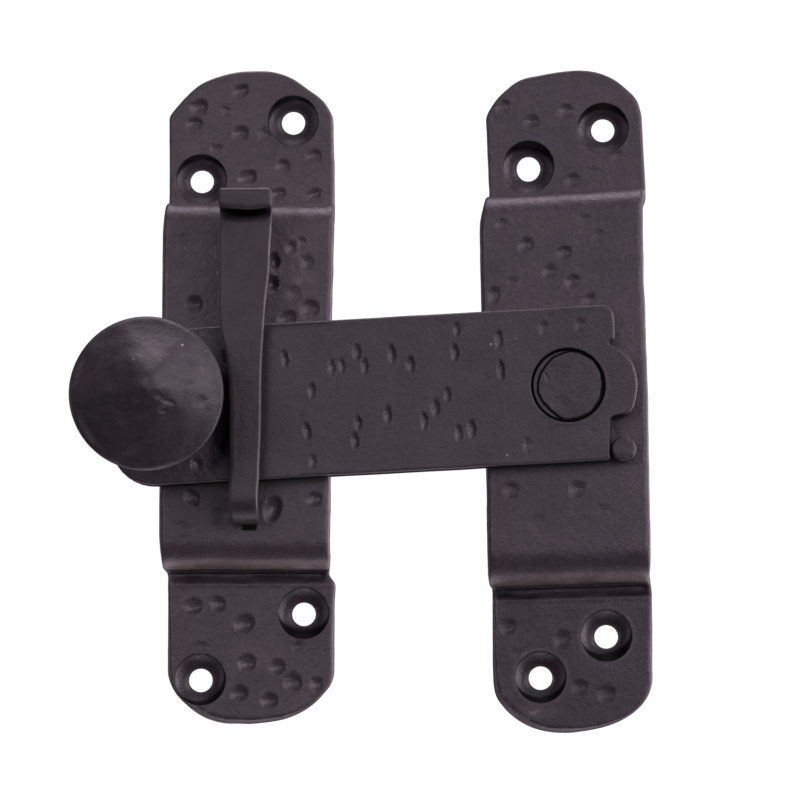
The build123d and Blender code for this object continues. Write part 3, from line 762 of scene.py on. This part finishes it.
pivot_marks = [
    (-10.78, 46.87, 1.4, 1.1, 0.22, -20), (-6.36, 44.39, 1.4, 1.2, 0.26, -20), (-0.82, 46.05, 1.5, 1.2, 0.26, -20),
    (7.22, 38.85, 1.4, 1.1, 0.14, 0), (0.10, 34.88, 1.5, 1.2, 0.24, -20), (3.2, 36.4, 1.3, 1.0, 0.10, 0),
    (-10.13, -35.61, 1.5, 1.4, 0.28, 0), (-1.67, -37.42, 1.6, 1.5, 0.30, 0), (0.98, -44.96, 1.6, 1.4, 0.30, 0),
    (5.36, -46.06, 1.6, 1.4, 0.28, 0), (-8.6, -39.8, 1.4, 1.1, 0.10, 0),
    (-7.23, 24.04, 1.5, 1.3, 0.30, -20), (-1.27, 22.77, 1.5, 1.2, 0.30, -20), (-3.63, 19.77, 1.4, 1.2, 0.26, -20),
    (-0.03, 18.19, 1.5, 1.2, 0.28, -20), (-12.26, 16.00, 1.0, 1.5, 0.34, 10), (2.63, 15.34, 1.4, 1.1, 0.24, -20),
    (-10.98, 27.21, 1.2, 1.0, 0.18, 0), (2.04, 27.98, 1.3, 1.0, 0.12, 0), (4.07, 25.45, 1.3, 1.1, 0.14, 0),
    (-9.43, 18.04, 1.3, 1.1, 0.14, 0), (-9.65, -14.52, 1.5, 1.3, 0.26, 0), (0.66, -14.53, 1.5, 1.3, 0.26, 0),
    (-5.75, -19.54, 1.6, 1.2, 0.14, 0), (4.55, -17.83, 1.5, 1.2, 0.14, 0),
]
pin_x, pin_z = 7.929, -8.344
pivot_slant = [(-9.8, -48.7, 0.66, 5.5), (-12.5, -38.0, 0.22, 6.0), (-2.0, -51.8, 0.26, 4.0), (5.0, -50.9, 0.16, 4.0), (12.4, -38.0, 0.16, 6.0)]
# tone (0.0, -0.2, 2.4): painted shade on this plate's lower pad, and a light band on its lower crest
pivot_parts = plate(pivot_left, pivot_right, pivot_top_arc, pivot_low_arc, (33.00, -29.00, 1.0, 5.3), (0.0, 0.0571, 0.0325),
                    [(5.03, 43.42, 90, 0.80), (-5.03, -43.42, -80, 0.95), (-6.75, 37.29, 80, 1.15), (5.31, -36.94, -75, 1.35)],
                    [(pivot_x, pivot_z, 3.22), (pin_x, pin_z, 1.27)], pivot_marks, pivot_slant, 1.1, [(-6.1, -48.9, 2.0, 0.6)], (0.0, -0.2, 2.4), [], 41)
make("pivot_plate_hammered", [pivot_parts], plate_mat, "plates", ["pivot_plate"])


# ---------------------------------------------------------------------------
# latch bar
# ---------------------------------------------------------------------------
def fillet_loop(points, radii, n=10):
    """A closed polygon with its corners rounded by arcs of those radii."""
    p = [np.array(q, float) for q in points]
    out = []
    for k, r in enumerate(radii):
        a, b, c = p[k - 1], p[k], p[(k + 1) % len(p)]
        if r <= 0:
            out.append(b[None])
            continue
        u, w = (a - b) / np.linalg.norm(a - b), (c - b) / np.linalg.norm(c - b)
        half = math.acos(np.clip(u @ w, -1, 1)) / 2
        t = r / math.tan(half)
        centre = b + (u + w) / np.linalg.norm(u + w) * r / math.sin(half)
        s, e = b + u * t - centre, b + w * t - centre
        a0 = math.atan2(s[1], s[0])
        turn = (math.atan2(e[1], e[0]) - a0 + math.pi) % (2 * math.pi) - math.pi
        ang = a0 + np.linspace(0, turn, n)
        out.append(centre + r * np.c_[np.cos(ang), np.sin(ang)])
    return np.vstack(out)


lobe = curve([(7.33, -5.22), (8.58, -5.13), (9.55, -4.48), (10.07, -3.65), (10.45, -2.43), (10.78, -0.57), (10.71, 0.99), (10.27, 2.89), (9.56, 4.18), (8.36, 5.02), (7.70, 5.56)], 4)
bar_loop = fillet_loop([(6.78, 5.95), (6.76, 6.45), (7.60, 6.80), (7.74, 8.10), (7.72, 12.33), (-72.0, 12.33), (-72.0, -12.02), (5.82, -12.02), (6.36, -6.30), (6.40, -5.52)] + lobe.tolist(),
                       [0.12, 0.12, 0.15, 0.3, 1.9, 7.2, 7.2, 0.35, 0.1, 0.1] + [0] * len(lobe))
bar_marks = [
    (-43.86, 6.55, 0.55, 1.6, 0.26, 5), (-36.61, 4.73, 0.55, 1.5, 0.20, 0), (-35.04, 4.88, 0.5, 1.4, 0.20, 0), (-32.59, 6.87, 0.6, 1.5, 0.26, -5),
    (-31.46, 4.68, 0.55, 1.5, 0.24, 0), (-27.16, 6.25, 0.6, 1.6, 0.26, 5), (-24.29, 4.51, 0.6, 1.5, 0.26, 0), (-17.33, 6.01, 0.6, 1.5, 0.26, 0),
    (-16.82, 9.60, 0.6, 1.3, 0.22, 0), (-10.37, 7.66, 0.6, 1.6, 0.24, 0), (-10.32, 2.95, 0.6, 1.9, 0.28, 0), (-39.92, 1.31, 0.55, 1.5, 0.22, 0),
    (-41.03, -5.06, 0.6, 1.6, 0.24, 10), (-32.96, -4.26, 0.6, 1.5, 0.24, 0), (-33.64, -6.88, 0.6, 1.5, 0.24, 0), (-28.30, -3.26, 0.6, 1.6, 0.26, 0),
    (-20.77, -2.59, 0.65, 1.7, 0.28, 0), (-22.67, -4.52, 0.6, 1.5, 0.26, 0), (-18.86, -0.50, 0.6, 1.5, 0.22, 0), (-15.36, -6.18, 0.65, 1.7, 0.26, 0),
    (-17.41, -6.61, 0.6, 1.5, 0.22, 0), (-40.35, -9.80, 0.6, 1.3, 0.18, 0), (-52.9, 7.5, 0.8, 1.2, 0.16, 0), (-54.6, -7.4, 1.0, 1.4, 0.16, 0),
    (-58.5, -9.2, 1.0, 1.2, 0.14, 20), (-3.2, 8.9, 1.0, 1.3, 0.12, 0), (2.4, 9.3, 1.1, 1.2, 0.12, 0), (-6.9, -9.1, 0.8, 1.3, 0.12, 0),
]
knob_u, knob_v = -64.88, 0.45
cb, sb = math.cos(bar_tilt), math.sin(bar_tilt)


def bar_world(u, v):
    return pivot_x + u * cb - v * sb, pivot_z + u * sb + v * cb


bar_outline = soften(even(dense(bar_loop, 0.15), 0.15), 0.16, 0.15)
bar_outline = even(bar_outline + inward(bar_outline) * np.clip(0.03 + 0.05 * noise(bar_outline, 6.0, 61), 0, 0.12)[:, None]
                   * smoothstep(4.0, -4.0, bar_outline[:, 0:1]), 0.3)
eye = Hole(0.0, 0.0, 3.25, [3.6, 4.4, 5.1, 5.5, 5.7, 5.78, 5.80, 5.83, 5.88, 5.95, 6.05, 6.3], [3.45, 3.8], n=132, sink=5.80)
knob_bore = Hole(knob_u, knob_v, 2.2, [2.5], [2.4, 2.75, 3.05, 3.15, 3.4], n=56, back_sink=3.1)


def bar_place(co, y):
    x, z = bar_world(co[:, 0], co[:, 1])
    return np.c_[x, y, z]


def bar_face(co, d):
    r = 0.42 + 0.12 * noise(co, 5, 62)
    h = -edge_round(d, r)
    fade = smoothstep(0, 1.4, d)
    h += fade * (0.045 * noise(co * (1, 0.6), 5.0, 63) + 0.03 * noise(co * (1, 0.5), 2.2, 64) + 0.01 * noise(co, 1.1, 65) - 0.045)
    h -= dents(co, bar_marks, (0.55, 0.15), 1.7) * smoothstep(0.05, 0.5, d)
    rr = eye.dist(co)
    lip = np.clip((rr - eye.sink) / 0.16, 0, 1)
    near = 1 - smoothstep(eye.sink + 0.1, eye.sink + 0.8, rr)
    h = h * (1 - near)
    h = np.where(rr < eye.sink - 0.005, -1.28, h - 0.16 * (1 - np.sqrt(np.clip(1 - (1 - lip) ** 2, 0, 1))))
    wear_and_painted_light = np.exp(-((d - 0.2) / 0.25) ** 2) * (0.5 + 0.5 * noise(co, 2.5, 66))
    wear_and_painted_light = np.maximum(wear_and_painted_light, np.exp(-((rr - eye.sink) / 0.2) ** 2) * 0.4)
    wear_and_painted_light = np.where(co[:, 1] > 0, 0.45, 1.0) * wear_and_painted_light
    # painted shade: near black inside the eye, round the rivet head
    wear_and_painted_light = np.where(rr < eye.sink - 0.005, -1.0, wear_and_painted_light)
    # painted shade on the bar round the knob's base, towards the strap, where knob and strap keep the light off
    behind = (1 - smoothstep(12.6, 15.2, knob_bore.dist(co))) * smoothstep(7.5, 10.0, co[:, 0] - knob_u) * (1 - smoothstep(3.0, 6.5, co[:, 1] - knob_v))
    wear_and_painted_light = wear_and_painted_light * (1 - behind) - 0.9 * behind
    # painted shade: a dark line along the lower shoulder next to the stop pin, a dark spot in the notch above it, a
    # thin dark line near the top edge right of the strap, and the strap's shadow on the bar to its right
    gap = (1 - smoothstep(0.12, 0.34, d)) * smoothstep(4.6, 5.0, co[:, 0]) * (1 - smoothstep(-5.1, -4.7, co[:, 1])) * smoothstep(-11.9, -11.2, co[:, 1])
    nick = np.exp(-((co[:, 0] - 6.95) ** 2 + (co[:, 1] - 6.3) ** 2) / 0.42**2)
    top_edge_shade = np.exp(-(((d - 0.5) / 0.2) ** 2)) * (co[:, 1] > 9) * smoothstep(-47.5, -46.0, co[:, 0]) * (1 - smoothstep(-38.0, -34.0, co[:, 0])) * 0.6
    x, z = bar_world(co[:, 0], co[:, 1])
    strap_shadow = 0.45 * np.exp(-(((x - np.interp(z, [-11.2, -4.2, 5.2, 9.9, 13.8], [-48.74, -48.49, -48.35, -48.07, -47.84]) - 0.3) / 0.8) ** 2))
    painted_shade_on_bar = np.maximum(np.maximum(np.maximum(gap, nick), top_edge_shade), strap_shadow)
    wear_and_painted_light = wear_and_painted_light * (1 - painted_shade_on_bar) - painted_shade_on_bar
    return bar_place(co, bar_y - h), np.clip(wear_and_painted_light, -1, 1)


def bar_walls(loop):
    n = inward(loop)
    # painted shade: the bar's underside wall and its lower shoulder wall are near black
    under = smoothstep(0.5, 0.8, n[:, 1])
    shoulder = smoothstep(0.5, 0.8, -n[:, 0]) * (loop[:, 1] < -4.9) * (loop[:, 0] > 0)
    return 0.15 - 1.1 * np.maximum(under, shoulder)


def bar_back(co, d):
    h = -edge_round(d, 0.35) - 0.02 - 0.02 * noise(co, 6, 67)
    rr = knob_bore.dist(co)
    h = h - np.clip(knob_bore.back_sink - rr, 0, 0.9)
    return bar_place(co, bar_back_y + np.minimum(h, -0.004)), np.exp(-(d / 0.35) ** 2) * 0.4


bar_parts = slab(bar_outline, [eye, knob_bore], bar_face, bar_back, [0.0, 0.03, 0.09, 0.18, 0.3, 0.46, 0.7], [0.0, 0.06, 0.2, 0.4], 0.34, 68, wall=bar_walls)
make("latch_bar_hammered", [bar_parts], bar_mat, "bar", ["latch_bar"])


# ---------------------------------------------------------------------------
# catch strap
# ---------------------------------------------------------------------------
strap_line = Bend([(-21.3, 30.25), (-15.8, 30.25), (-15.8, -18.45), (-9.46, -18.45)], [2.7, 2.3])
strap_left = [(31.75, -55.10), (28.1, -54.98), (26.4, -55.10), (24.6, -55.17), (16.2, -55.15), (13.0, -55.10), (9.9, -54.88), (7.55, -54.42), (5.2, -53.95),
              (2.9, -53.64), (-1.0, -53.43), (-7.3, -53.33), (-12.8, -53.32), (-15.1, -53.52), (-17.9, -53.33), (-19.1, -53.03), (-20.6, -52.80)]
strap_right = [(31.75, -46.74), (28.1, -46.92), (25.3, -46.92), (24.0, -47.05), (21.6, -47.17), (19.3, -47.26), (16.2, -47.60), (13.8, -47.84), (9.9, -48.07),
               (5.2, -48.35), (2.9, -48.42), (-4.2, -48.49), (-7.3, -48.56), (-11.2, -48.74), (-13.2, -48.78), (-15.1, -48.96), (-17.9, -48.97), (-20.6, -48.90)]


def smooth_curve(xs, ys, x):
    """Catmull-Rom interpolation through points with rising xs."""
    xs, ys = np.asarray(xs, float), np.asarray(ys, float)
    m = np.gradient(ys, xs)
    k = np.clip(np.searchsorted(xs, x) - 1, 0, len(xs) - 2)
    h = xs[k + 1] - xs[k]
    t = (np.clip(x, xs[0], xs[-1]) - xs[k]) / h
    return ((2 * t**3 - 3 * t**2 + 1) * ys[k] + (t**3 - 2 * t**2 + t) * h * m[k]
            + (3 * t**2 - 2 * t**3) * ys[k + 1] + (t**3 - t**2) * h * m[k + 1])


s_end = strap_line.s[-1]
lip_bend = strap_line.s[41]
ss = np.linspace(0, s_end, 400)
_, zz, _, _ = strap_line.at(ss)
# the front surface leads the centre line, so its height decides the width
zz = np.where(ss < 8, 31.75 - 0.6 * ss * 0.35, zz)
xl = smooth_curve(*zip(*strap_left[::-1]), zz)
xr = smooth_curve(*zip(*strap_right[::-1]), zz)
strap_loop = np.vstack([np.c_[xl, ss][::-1], np.c_[xr, ss]])
strap_outline = soften(even(strap_loop, 0.12), 0.3, 0.12)
strap_outline = even(strap_outline + inward(strap_outline) * np.clip(0.02 + 0.04 * noise(strap_outline, 7.0, 81), 0, 0.1)[:, None], 0.26)


def strap_place(co, h, side):
    y, z, ny, nz = strap_line.at(co[:, 1])
    return np.c_[co[:, 0], y + side * ny * (1.5 + h), z + side * nz * (1.5 + h)]


def strap_face(co, d):
    left_side = co[:, 0] < -51.0
    across = np.clip(1 - ((co[:, 0] + 51.0) / 3.9) ** 2, 0, 1)
    nose = np.exp(-((co[:, 1] / 1.5) ** 2))
    h = -edge_round(d, np.where(left_side, 0.62, 0.36) + 0.08 * noise(co, 6, 82) + 0.55 * nose * across) + 0.7 * nose * across
    h += smoothstep(0, 1.2, d) * (0.035 * noise(co, 6.0, 83) + 0.012 * noise(co, 2.4, 84) - 0.035)
    h -= 1.7 * across ** 0.8 * np.exp(-((co[:, 1] - lip_bend + 1.1) / 1.0) ** 2)
    wear_and_painted_light = np.exp(-((d - 0.2) / 0.25) ** 2) * (0.6 + 0.4 * noise(co, 3, 85))
    # the foot lightened: thinned paint and painted light from below on its bend
    low = smoothstep(s_end - 6.5, s_end - 3.0, co[:, 1])
    # painted highlight: a thin light line along the strap's right edge, from below the lip to above the foot
    painted_highlight = np.exp(-((d - 0.10) / 0.16) ** 2) * (co[:, 0] > -51.0) * smoothstep(lip_bend - 0.5, lip_bend + 2.0, co[:, 1]) * (1 - smoothstep(s_end - 7.0, s_end - 5.0, co[:, 1]))
    wear_and_painted_light = np.maximum(np.maximum(wear_and_painted_light, 0.9 * low), 2.1 * painted_highlight)
    # painted shadow under the lip: a dark lens across the strap, lowest in the middle
    painted_shade = np.sqrt(across) * smoothstep(0.8, 1.6, co[:, 1]) * (1 - smoothstep(-0.55, 0.0, co[:, 1] - lip_bend + 0.9 * (1 - across)))
    return strap_place(co, h, 1), np.clip(wear_and_painted_light * (1 - painted_shade) - painted_shade, -1, 3)


def strap_walls(loop):
    n = inward(loop)
    # painted shade on the strap's left wall below the lip
    return 0.15 - 0.8 * smoothstep(0.6, 0.9, n[:, 0]) * smoothstep(lip_bend + 8, lip_bend + 14, loop[:, 1])


def strap_back(co, d):
    lip = 1 - smoothstep(3.5, 6.0, co[:, 1])
    h = -edge_round(d, 0.4 + 0.35 * lip) - 0.015 - 0.015 * noise(co, 5, 86)
    return strap_place(co, np.minimum(h, -0.004), -1), np.exp(-(d / 0.4) ** 2) * 0.7


strap_parts = slab(strap_outline, [], strap_face, strap_back, [0.0, 0.03, 0.09, 0.18, 0.3, 0.46, 0.7], [0.0, 0.05, 0.14, 0.28, 0.5, 0.8], 0.3, 87, wall=strap_walls)


def block(loop0, y0, loops):
    """A closed stack of loops, given as (loop, y) from the front back, with flat ends."""
    stack = [(loop0, y0)] + loops
    n = len(loop0)
    v = np.vstack([np.c_[lp[:, 0], np.full(n, y), lp[:, 1]] for lp, y in stack])
    k = np.arange(n)
    f = []
    for i in range(len(stack) - 1):
        f += np.c_[i * n + k, i * n + (k + 1) % n, (i + 1) * n + (k + 1) % n, (i + 1) * n + k].tolist()
    f.append(list(range(n))[::-1])
    f.append([int((len(stack) - 1) * n + j) for j in k])
    return v, f, np.full(len(v), 0.15)


tz = -18.325
tenon = block(round_rect(-50.5, tz, 2.2, 2.75, 0.25), -10.2, [(round_rect(-50.5, tz, 2.2, 2.75, 0.25), -6.45)])
hz = -18.875
head = block(round_rect(-50.5, hz, 4.2, 5.0, 0.9), -6.47,
             [(round_rect(-50.48, hz, 4.3, 5.1, 1.0), -6.2), (round_rect(-50.46, hz + 0.05, 4.0, 4.75, 1.1), -5.65),
              (round_rect(-50.42, hz + 0.1, 3.4, 4.1, 1.1), -5.22), (round_rect(-50.40, hz + 0.12, 2.4, 3.1, 1.0), -5.02)])
make("catch_strap_forged", [strap_parts, tenon, head], strap_mat, "plates", ["catch_strap"])


# ---------------------------------------------------------------------------
# knob
# ---------------------------------------------------------------------------
kx, kz = bar_world(knob_u, knob_v)


def spline_points(pts, t0, t1, n):
    """A smooth curve through (r, y) points with given end directions."""
    p = np.array(pts, float)
    d = np.r_[0, np.cumsum(np.linalg.norm(np.diff(p, axis=0), axis=1))]
    m = np.gradient(p, d, axis=0)
    m[0], m[-1] = t0, t1
    x = np.linspace(0, d[-1], n)
    k = np.clip(np.searchsorted(d, x) - 1, 0, len(d) - 2)
    h = (d[k + 1] - d[k])[:, None]
    t = ((x - d[k]) / (d[k + 1] - d[k]))[:, None]
    return ((2 * t**3 - 3 * t**2 + 1) * p[k] + (t**3 - 2 * t**2 + t) * h * m[k]
            + (3 * t**2 - 2 * t**3) * p[k + 1] + (t**3 - t**2) * h * m[k + 1])


def run(a, b, n):
    return np.array(a) + (np.array(b) - np.array(a)) * np.linspace(0, 1, n)[:, None]


tip_ball = (2.6**2 + 0.75**2) / (2 * 0.75)
tip = np.array([(r, -39.2 + tip_ball - math.sqrt(tip_ball**2 - r * r)) for r in np.linspace(2.6, 0.12, 10)])
knob_profile = np.vstack([
    run((2.9, -9.76), (3.04, -9.85), 3), run((3.04, -9.86), (2.16, -10.68), 3), run((2.16, -10.9), (2.16, -13.6), 3),
    run((2.62, -13.74), (2.68, -13.9), 3), run((2.68, -14.2), (2.69, -22.0), 14),
    spline_points([(2.7, -22.3), (3.3, -25.8), (5.8, -28.7), (10.4, -30.45)], (0, -1), (0.993, -0.119), 42),
    arc3((10.4, -30.45), (11.89, -31.9), (11.3, -33.1), 26)[1:],
    run((11.3, -33.1), (2.6, -38.45), 60)[1:], tip[1:]])
# the third column is the paint value: painted shade under the head's flare and round the side of its rim, a little
# scuffing on the rim's front
knob_profile = np.c_[knob_profile, np.interp(np.arange(len(knob_profile)), [0, 50, 66, 80, 88, 94, len(knob_profile)], [0, -0.2, -0.7, -0.6, 0.2, 0, 0])]
knob_profile = np.vstack([[0, -9.76, 0], knob_profile, [0, -39.2, 0]])
# hammered flats on the head: direction round the axis and depth below the cone
knob_flats = [(30, 0.56), (84, 0.32), (126, 0.32), (165, 0.34), (212, 0.46), (258, 0.36), (302, 0.36), (342, 0.24)]
knob_dents = [(1.3, -1.9, 1.2, 0.7, 0.16, 10), (2.9, -2.6, 1.4, 0.6, 0.16, -8), (2.1, -3.9, 1.1, 0.6, 0.13, 0), (8.6, -1.6, 1.3, 1.0, 0.10, 30),
              (6.2, 1.4, 1.8, 0.9, 0.08, 20), (-1.8, -1.9, 1.3, 0.8, 0.10, 40), (-4.6, 3.2, 1.6, 1.1, 0.07, 30)]
cone = (38.45 - 33.1) / (11.3 - 2.6)


def knob_shape(v):
    r = np.hypot(v[:, 0], v[:, 2])
    a = np.arctan2(v[:, 2], v[:, 0])
    top = smoothstep(-33.0, -38.6, v[:, 1])
    head = smoothstep(-32.2, -33.6, v[:, 1])
    q = v.copy()
    cut = np.full(len(v), 0.0)
    soft = 0.26
    total = np.ones(len(v))
    for t, d in knob_flats:
        c = np.cos(a - math.radians(t))
        depth = d - cone * r * (1 - c) - 0.010 * (r - 6.0) ** 2 * (r > 6.0)
        total += np.exp(np.clip(depth / soft, -40, 40))
    cut = soft * np.log(total)
    cut = np.minimum(cut, 0.62)
    sunk = cut + dents(v[:, [0, 2]], knob_dents, (0.4, 0.1), 1.5) + 0.16 + 0.17 * noise(v, 4.2, 91) + 0.085 * noise(v, 2.1, 92)
    q[:, 1] += head * sunk * 0.857
    k = np.where(r > 1e-6, 1 - head * sunk * 0.515 / np.maximum(r, 2.0), 1)
    # the rim isn't quite round
    k *= 1 - smoothstep(-29.5, -31.5, v[:, 1]) * (0.002 + 0.002 * noise(v * (1, 0.2, 1), 6.0, 93))
    q[:, 0] *= k
    q[:, 2] *= k
    q[:, 0] += 0.9 * top
    q[:, 2] += 0.8 * top
    return q


knob_parts = lathe(knob_profile, kx, kz, 216, knob_shape)
make("knob_hammered", [knob_parts], knob_mat, "bar", ["knob"])


# ---------------------------------------------------------------------------
# rivet and stop pin
# ---------------------------------------------------------------------------
flats = np.array([(5.17, 0.0), (4.97, 1.95), (3.87, 3.87), (1.84, 5.0), (0.28, 5.23), (-0.81, 4.92), (-2.37, 4.22), (-3.46, 2.98), (-4.24, 1.73), (-4.63, 0.33),
                  (-4.63, -1.07), (-3.93, -2.48), (-2.84, -3.72), (-1.28, -5.0), (-0.33, -5.4), (1.6, -5.05), (3.5, -4.2), (4.85, -2.1)])
head_loop = soften(even(dense(flats, 0.1), 0.1), 0.14, 0.1)
rivet_marks = [(-2.0, 1.9, 2.2, 1.6, 0.08, 40), (1.8, -1.8, 2.3, 1.7, 0.09, 30), (-0.8, -2.9, 2.0, 1.2, 0.09, -10), (2.0, 2.0, 1.8, 1.4, 0.07, -40), (-3.3, 1.2, 0.35, 1.1, 0.16, 20)]

rivet_profile = [(0, -4.52, 0)]
rivet_profile += [(r, -6.5 + 0.5 + 1.48 * math.sqrt(max(0, 1 - (r / 4.9) ** 2)), 0) for r in np.linspace(0.3, 4.85, 18)]
rivet_profile += [(4.88, -6.1, 0), (4.85, -6.42, 0), (4.7, -6.49, 0), (3.2, -6.49, 0), (3.2, -8.5, 0), (3.2, -12.0, 0), (3.2, -12.52, 0)]
rivet_profile += [(5.3, -12.54, 0), (5.5, -12.58, 0), (5.52, -12.75, 0), (5.52, -12.95, 0)]
rivet_profile += [(r, -13.4, 0.0) for r in np.r_[np.arange(5.5, 4.0, -0.06), np.arange(4.0, 0.2, -0.25)]]
rivet_profile.append((0, -13.4, 0))


def rivet_shape(v):
    q = v.copy()
    r = np.hypot(v[:, 0], v[:, 2])
    p = v[:, [0, 2]]
    front = v[:, 1] < -13.3
    sd = distance(p, head_loop) * np.where(inside(p, head_loop), 1, -1)
    turn = np.degrees(np.arctan2(p[:, 1], p[:, 0])) % 360
    rim = smoothstep(55, 85, turn) * (1 - smoothstep(250, 275, turn))
    flat_y = -13.64 + edge_round(np.maximum(sd, 0), 0.2) + dents(p, rivet_marks) + 0.012 * noise(p, 2.0, 101)
    step_y = -12.98 - rim * 0.46 * smoothstep(0.20, 0.27, -sd) * (1 - smoothstep(5.40, 5.5, r))
    q[:, 1] = np.where(front, np.where(sd > 0, flat_y, step_y), q[:, 1])
    tail = smoothstep(-6.2, -5.8, v[:, 1])
    q[:, 1] -= tail * (0.08 + 0.08 * noise(v, 2.6, 102))
    q[:, 0] *= 1 - tail * 0.02 * (1 + noise(v * (1, 0.1, 1), 4.0, 103))
    return q


rivet_v, rivet_f, rivet_w = lathe(rivet_profile, pivot_x, pivot_z, 200, rivet_shape)
rivet_p = rivet_v[:, [0, 2]] - (pivot_x, pivot_z)
# painted shade: the groove round the head, inside the bar's eye, is near black
in_groove = (rivet_v[:, 1] < -12.5) & (rivet_v[:, 1] > -13.25) & ~inside(rivet_p, head_loop)
rivet_w = np.where(in_groove, -0.85, rivet_w)
make("pivot_rivet_hammered", [(rivet_v, rivet_f, rivet_w)], rivet_mat, "plates", ["pivot_rivet"])

pin_profile = [(0, -5.62, 0)] + [(r, -5.62 - 0.06 * (r / 1.5) ** 2, 0) for r in np.linspace(0.2, 1.4, 6)]
pin_profile += [(1.6, -5.8, 0), (1.85, -6.2, 0), (1.97, -6.49, 0), (1.25, -6.495, 0), (1.25, -9.4, 0), (1.93, -9.51, 0), (1.94, -10.5, 0), (1.94, -11.6, 0), (1.94, -12.3, 0.1)]
pin_profile += [(1.94 - 0.55 * (1 - math.cos(t)), -12.5 - 0.5 * math.sin(t), 0.6) for t in np.linspace(0, math.pi / 2, 9)]
pin_profile += [(r, -13.0 - 0.08 * (1 - (r / 1.39) ** 2), 0.05) for r in np.linspace(1.3, 0.15, 9)] + [(0, -13.085, 0)]


def pin_shape(v):
    q = v.copy()
    front = smoothstep(-12.2, -12.9, v[:, 1])
    q[:, 1] += front * (0.04 + 0.05 * noise(v, 1.6, 111))
    k = 1 - 0.012 * (1 + noise(v * (1, 0.3, 1), 1.5, 112))
    q[:, 0] *= k
    q[:, 2] *= k
    return q


make("stop_pin_riveted", [lathe(pin_profile, pin_x, pin_z, 72, pin_shape)], rivet_mat, "plates", ["stop_pin"])


# ---------------------------------------------------------------------------
# camera, floor, light
# ---------------------------------------------------------------------------
scene = bpy.context.scene
cam_data = bpy.data.cameras.new("camera")
cam_data.sensor_width = 36.0
cam_data.lens = 284.81
cam_data.clip_start = 0.05
cam_data.clip_end = 50.0
cam = bpy.data.objects.new("camera", cam_data)
scene.collection.objects.link(cam)
az, el = math.radians(0.8), math.radians(-5.8)
back_dir = Vector((math.sin(az) * math.cos(el), -math.cos(az) * math.cos(el), math.sin(el)))
cam.location = Vector((-0.027122, 0.0, 0.000601)) + back_dir * 1.0
cam.rotation_mode = "QUATERNION"
cam.rotation_quaternion = (-back_dir).to_track_quat("-Z", "Y")
scene.camera = cam

floor_mesh = bpy.data.meshes.new("floor")
floor_mesh.from_pydata([(-6, -6, -1.3), (6, -6, -1.3), (6, 6, -1.3), (-6, 6, -1.3)], [], [(0, 1, 2, 3)])
floor = bpy.data.objects.new("floor", floor_mesh)
scene.collection.objects.link(floor)
floor_mat = bpy.data.materials.new("pale_floor")
floor_mat.use_nodes = True
fb = floor_mat.node_tree.nodes["Principled BSDF"]
fb.inputs["Base Color"].default_value = (0.82, 0.81, 0.80, 1)
fb.inputs["Roughness"].default_value = 0.8
floor_mesh.materials.append(floor_mat)
floor.visible_diffuse = False
floor.visible_glossy = False
floor.visible_shadow = False


# soft studio light: two front boxes left and right of the camera, a long box at the top, one far to the right, and a pale table
# that glows behind the latch, below and to the right: angle from the front axis, angle round it from +X to +Z, narrowness, strength
lamps = [(26, 162, 60, 3.1), (26, 18, 45, 2.2), (13, 120, 45, 0.5), (44, 20, 34, 1.9), (63, 24, 30, 1.9), (76, 77, 14, 0.25), (76, 20, 14, 0.35), (94, 90, 14, 3.5),
         (114, 0, 10, 3.3), (114, -90, 10, 1.8), (97, -90, 60, 0.8), (114, 180, 10, 0.7)]
world = bpy.data.worlds.new("studio")
scene.world = world
world.use_nodes = True
wt = world.node_tree
wt.nodes.clear()


def w_math(op, a, b, c=0.0):
    m = wt.nodes.new("ShaderNodeMath")
    m.operation = op
    for sock, val in ((m.inputs[0], a), (m.inputs[1], b), (m.inputs[2], c)):
        if isinstance(val, (int, float)):
            sock.default_value = val
        else:
            wt.links.new(val, sock)
    return m.outputs[0]


w_dir = wt.nodes.new("ShaderNodeTexCoord")
glow = 0.0
for off, turn, narrow, power in lamps:
    off, turn = math.radians(off), math.radians(turn)
    dot = wt.nodes.new("ShaderNodeVectorMath")
    dot.operation = "DOT_PRODUCT"
    dot.inputs[1].default_value = (math.sin(off) * math.cos(turn), -math.cos(off), math.sin(off) * math.sin(turn))
    wt.links.new(w_dir.outputs["Generated"], dot.inputs[0])
    lobe = w_math("EXPONENT", w_math("MULTIPLY", w_math("SUBTRACT", dot.outputs["Value"], 1.0), narrow), 0.0)
    glow = w_math("MULTIPLY_ADD", lobe, power, glow)
w_out = wt.nodes.new("ShaderNodeOutputWorld")
w_mix = wt.nodes.new("ShaderNodeMixShader")
w_seen = wt.nodes.new("ShaderNodeBackground")
w_seen.inputs["Color"].default_value = (1, 1, 1, 1)
w_seen.inputs["Strength"].default_value = 1.05
w_fill = wt.nodes.new("ShaderNodeBackground")
w_fill.inputs["Color"].default_value = (1.04, 0.90, 1.03, 1)
wt.links.new(glow, w_fill.inputs["Strength"])
w_path = wt.nodes.new("ShaderNodeLightPath")
wt.links.new(w_path.outputs["Is Camera Ray"], w_mix.inputs[0])
wt.links.new(w_fill.outputs[0], w_mix.inputs[1])
wt.links.new(w_seen.outputs[0], w_mix.inputs[2])
wt.links.new(w_mix.outputs[0], w_out.inputs[0])
scene.view_settings.view_transform = "Standard"
scene.view_settings.look = "None"
